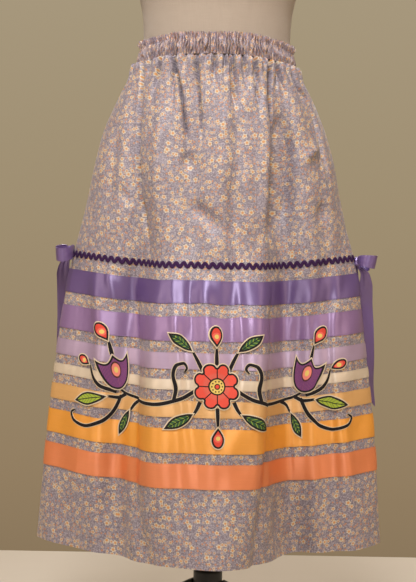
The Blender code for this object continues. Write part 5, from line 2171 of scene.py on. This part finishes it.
@dataclass
class CastStand:
    """Pole, hub and four cast feet. The profiles are in millimetres.

    A row of the leg has its reach from the pole, its lower and upper face and its half width.
    """

    turns: tuple[float, ...] = (-105.0, -15.0, 75.0, 165.0)
    pole: Route = (
        (10, 165.3), (10.8, 166), (10.8, 300), (10.8, 520), (10.8, 734), (10.4, 734.7))
    hub: Route = (
        (18, 112), (21.5, 112.8), (23.8, 115), (24, 117.5), (24, 124), (24, 156), (23.8, 158.5),
        (22.4, 161.2), (19.5, 164), (17.2, 165))
    leg: tuple[tuple[float, float, float, float], ...] = (
        (24.1, 116, 144, 9), (34, 113, 140, 8.7), (45, 108, 134, 8.5), (62, 98, 124, 8.2),
        (80, 86, 110, 8), (100, 70, 93, 7.9), (120, 54, 76, 7.8), (139, 39, 59, 7.8),
        (157, 26, 44, 7.8), (173, 16, 32, 8.3), (188, 8, 23, 9), (205, 0, 15, 12),
        (222, 0, 10, 13), (232, 0, 7, 9))

    def build(self) -> None:
        """Make the pole, the hub and the feet."""
        metal = BlackMetal().make()
        dress(turn_profile("pole_tube", self.pole, 48), metal, "black_metal", "stand_pole")
        dress(turn_profile("hub_casting", self.hub, 64), metal, "black_metal", "stand_hub")
        for number, turn in enumerate(self.turns, 1):
            self.build_leg(number, turn, metal)

    def build_leg(self, number: int, turn: float, metal: Material) -> None:
        """Extrude one foot along its curve, round its edges and turn it in place.

        Args:
            number: the foot's number.
            turn: its turn round the pole, in degrees.
            metal: its finish.
        """
        stations = [metres(row) for row in self.leg]
        reach, low, high, half = stations[0]
        deselect()
        bpy.ops.mesh.primitive_plane_add(size=1.0)
        piece = name_new(f"foot_casting_{number}")
        corners = ((0, -half, low), (0, half, low), (0, -half, high), (0, half, high))
        for vertex, (_, y, z) in zip(piece.data.vertices, corners):
            vertex.co = (reach, y, z)
        with editing(piece):
            for a, b in zip(stations, stations[1:]):
                middle = ((a[1] + a[2]) / 2, (b[1] + b[2]) / 2)
                bpy.ops.mesh.extrude_region_move(
                    TRANSFORM_OT_translate={"value": (b[0] - a[0], 0, middle[1] - middle[0])})
                bpy.ops.transform.resize(value=(1, b[3] / a[3], (b[2] - b[1]) / (a[2] - a[1])),
                                         center_override=(b[0], 0, middle[1]))
            face_outward()
        apply_modifier(piece, "BEVEL", width=0.0030, segments=4, limit_method="ANGLE",
                       angle_limit=math.radians(50))
        with editing(piece):
            bpy.ops.mesh.quads_convert_to_tris()
        piece.data.transform(Matrix.Rotation(math.radians(turn), 4, "Z"))
        shade(piece, 35.0)
        dress(piece, metal, "black_metal", f"stand_leg_{number}")


# ---- studio
@dataclass
class Studio:
    """Pale floor, soft lights and the camera."""

    distance: float = 2.0
    height: float = 0.655
    lens: float = 74.52
    pitch: float = math.radians(0.904)
    yaw: float = math.radians(0.221)
    roll: float = math.radians(0.97)
    room: tuple[tuple[float, Colour], ...] = (
        (0.0, (0.090, 0.060, 0.035)), (0.36, (0.230, 0.165, 0.095)),
        (0.42, (0.292, 0.212, 0.123)), (0.52, (0.345, 0.270, 0.165)),
        (0.61, (0.385, 0.312, 0.204)), (0.75, (0.260, 0.215, 0.150)),
        (1.0, (0.110, 0.095, 0.075)))
    floor: Colour = (0.560, 0.490, 0.400)

    def build(self) -> None:
        """Set the room, the lights and the camera."""
        self.build_world()
        self.build_floor()
        self.add_light("top", (-0.15, -1.00, 2.2), (0, -0.05, 0.7), 0.4, 27, (0.96, 0.96, 1.0))
        self.add_light("front", (-0.12, -2.0, 1.75), (0, 0, 0.6), 0.45, 17, (1.0, 0.94, 0.88))
        self.add_light("left", (-1.6, -1.1, 1.5), (0, 0, 0.6), 0.9, 13, (1.0, 0.84, 0.72))
        self.add_light("right", (1.5, -1.2, 1.4), (0, 0, 0.6), 0.9, 11, (1.0, 0.78, 0.62))
        self.add_light("back", (0.4, 1.7, 2.3), (0, 0, 0.7), 1.2, 42, (1.0, 0.94, 0.88))
        self.add_camera()
        bpy.context.scene.view_settings.view_transform = "Standard"

    def build_world(self) -> None:
        """Colour the air behind the object."""
        world = bpy.data.worlds.new("plain_room")
        world.use_nodes = True
        tree = world.node_tree
        place = tree.nodes.new("ShaderNodeTexCoord")
        parts = tree.nodes.new("ShaderNodeSeparateXYZ")
        rise = tree.nodes.new("ShaderNodeMath")
        rise.operation = "MULTIPLY_ADD"
        rise.inputs[1].default_value = rise.inputs[2].default_value = 0.5
        ramp = tree.nodes.new("ShaderNodeValToRGB")
        stops = ramp.color_ramp.elements
        for height, _ in self.room[1:-1]:
            stops.new(height)
        for stop, (height, colour) in zip(stops, self.room):
            stop.position, stop.color = height, (*colour, 1)
        tree.links.new(place.outputs["Generated"], parts.inputs[0])
        tree.links.new(parts.outputs["Z"], rise.inputs[0])
        tree.links.new(rise.outputs[0], ramp.inputs[0])
        tree.links.new(ramp.outputs[0], tree.nodes["Background"].inputs["Color"])
        bpy.context.scene.world = world

    def build_floor(self) -> None:
        """Lay the pale floor."""
        deselect()
        bpy.ops.mesh.primitive_plane_add(size=1.0)
        floor = name_new("pale_floor")
        for vertex in floor.data.vertices:
            vertex.co = (4.4 * vertex.co.x, 0.79 if vertex.co.y > 0 else -2.6, 0.0)
        s = Shader("floor_pale", 0.75)
        mottle = s.noise(s.place, 6.0, 4.0)
        s.paint(s.blend(mottle, tint(self.floor, 0.93), self.floor))
        s.bump(s.noise(s.place, 300.0, 3.0), 0.0002, 0.4)
        floor.data.materials.append(s.material)

    @staticmethod
    def add_light(name: str, place: tuple[float, float, float], aim: tuple[float, float, float],
                  size: float, watts: float, colour: Colour) -> None:
        """Hang one square soft light.

        Args:
            name: its name.
            place: where it hangs.
            aim: what it points at.
            size: its side.
            watts: its power.
            colour: its colour.
        """
        lamp = bpy.data.lights.new(name, "AREA")
        lamp.size, lamp.energy, lamp.color = size, watts, colour
        hung = bpy.data.objects.new(name, lamp)
        hung.location = place
        way = Vector(aim) - Vector(place)
        hung.rotation_euler = way.to_track_quat("-Z", "Y").to_euler()
        bpy.context.scene.collection.objects.link(hung)

    def add_camera(self) -> None:
        """Place the camera at eye level with the skirt, leaned a little."""
        lens = bpy.data.cameras.new("camera")
        lens.lens, lens.sensor_width, lens.sensor_fit = self.lens, 36.0, "AUTO"
        camera = bpy.data.objects.new("camera", lens)
        camera.matrix_world = (
            Matrix.Translation((0, -self.distance, self.height))
            @ Matrix.Rotation(self.yaw, 4, "Z")
            @ Matrix.Rotation(math.pi / 2 - self.pitch, 4, "X")
            @ Matrix.Rotation(self.roll, 4, "Z"))
        bpy.context.scene.collection.objects.link(camera)
        bpy.context.scene.camera = camera


# ---- all of it
def main() -> None:
    """Build the dressed part round the frame."""
    logging.basicConfig(level=logging.INFO, format="%(message)s")
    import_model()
    Studio().build()
    cloths = PrintedPanels().build()
    GatheredCasing().build()
    SatinBands(cloths).build()
    ZigzagBraid(cloths).build()
    SideBows(cloths).build()
    FlowerSpray(cloths[Panel.FRONT]).build()
    DressForm().build()
    CastStand().build()


if __name__ == "__main__":
    main()
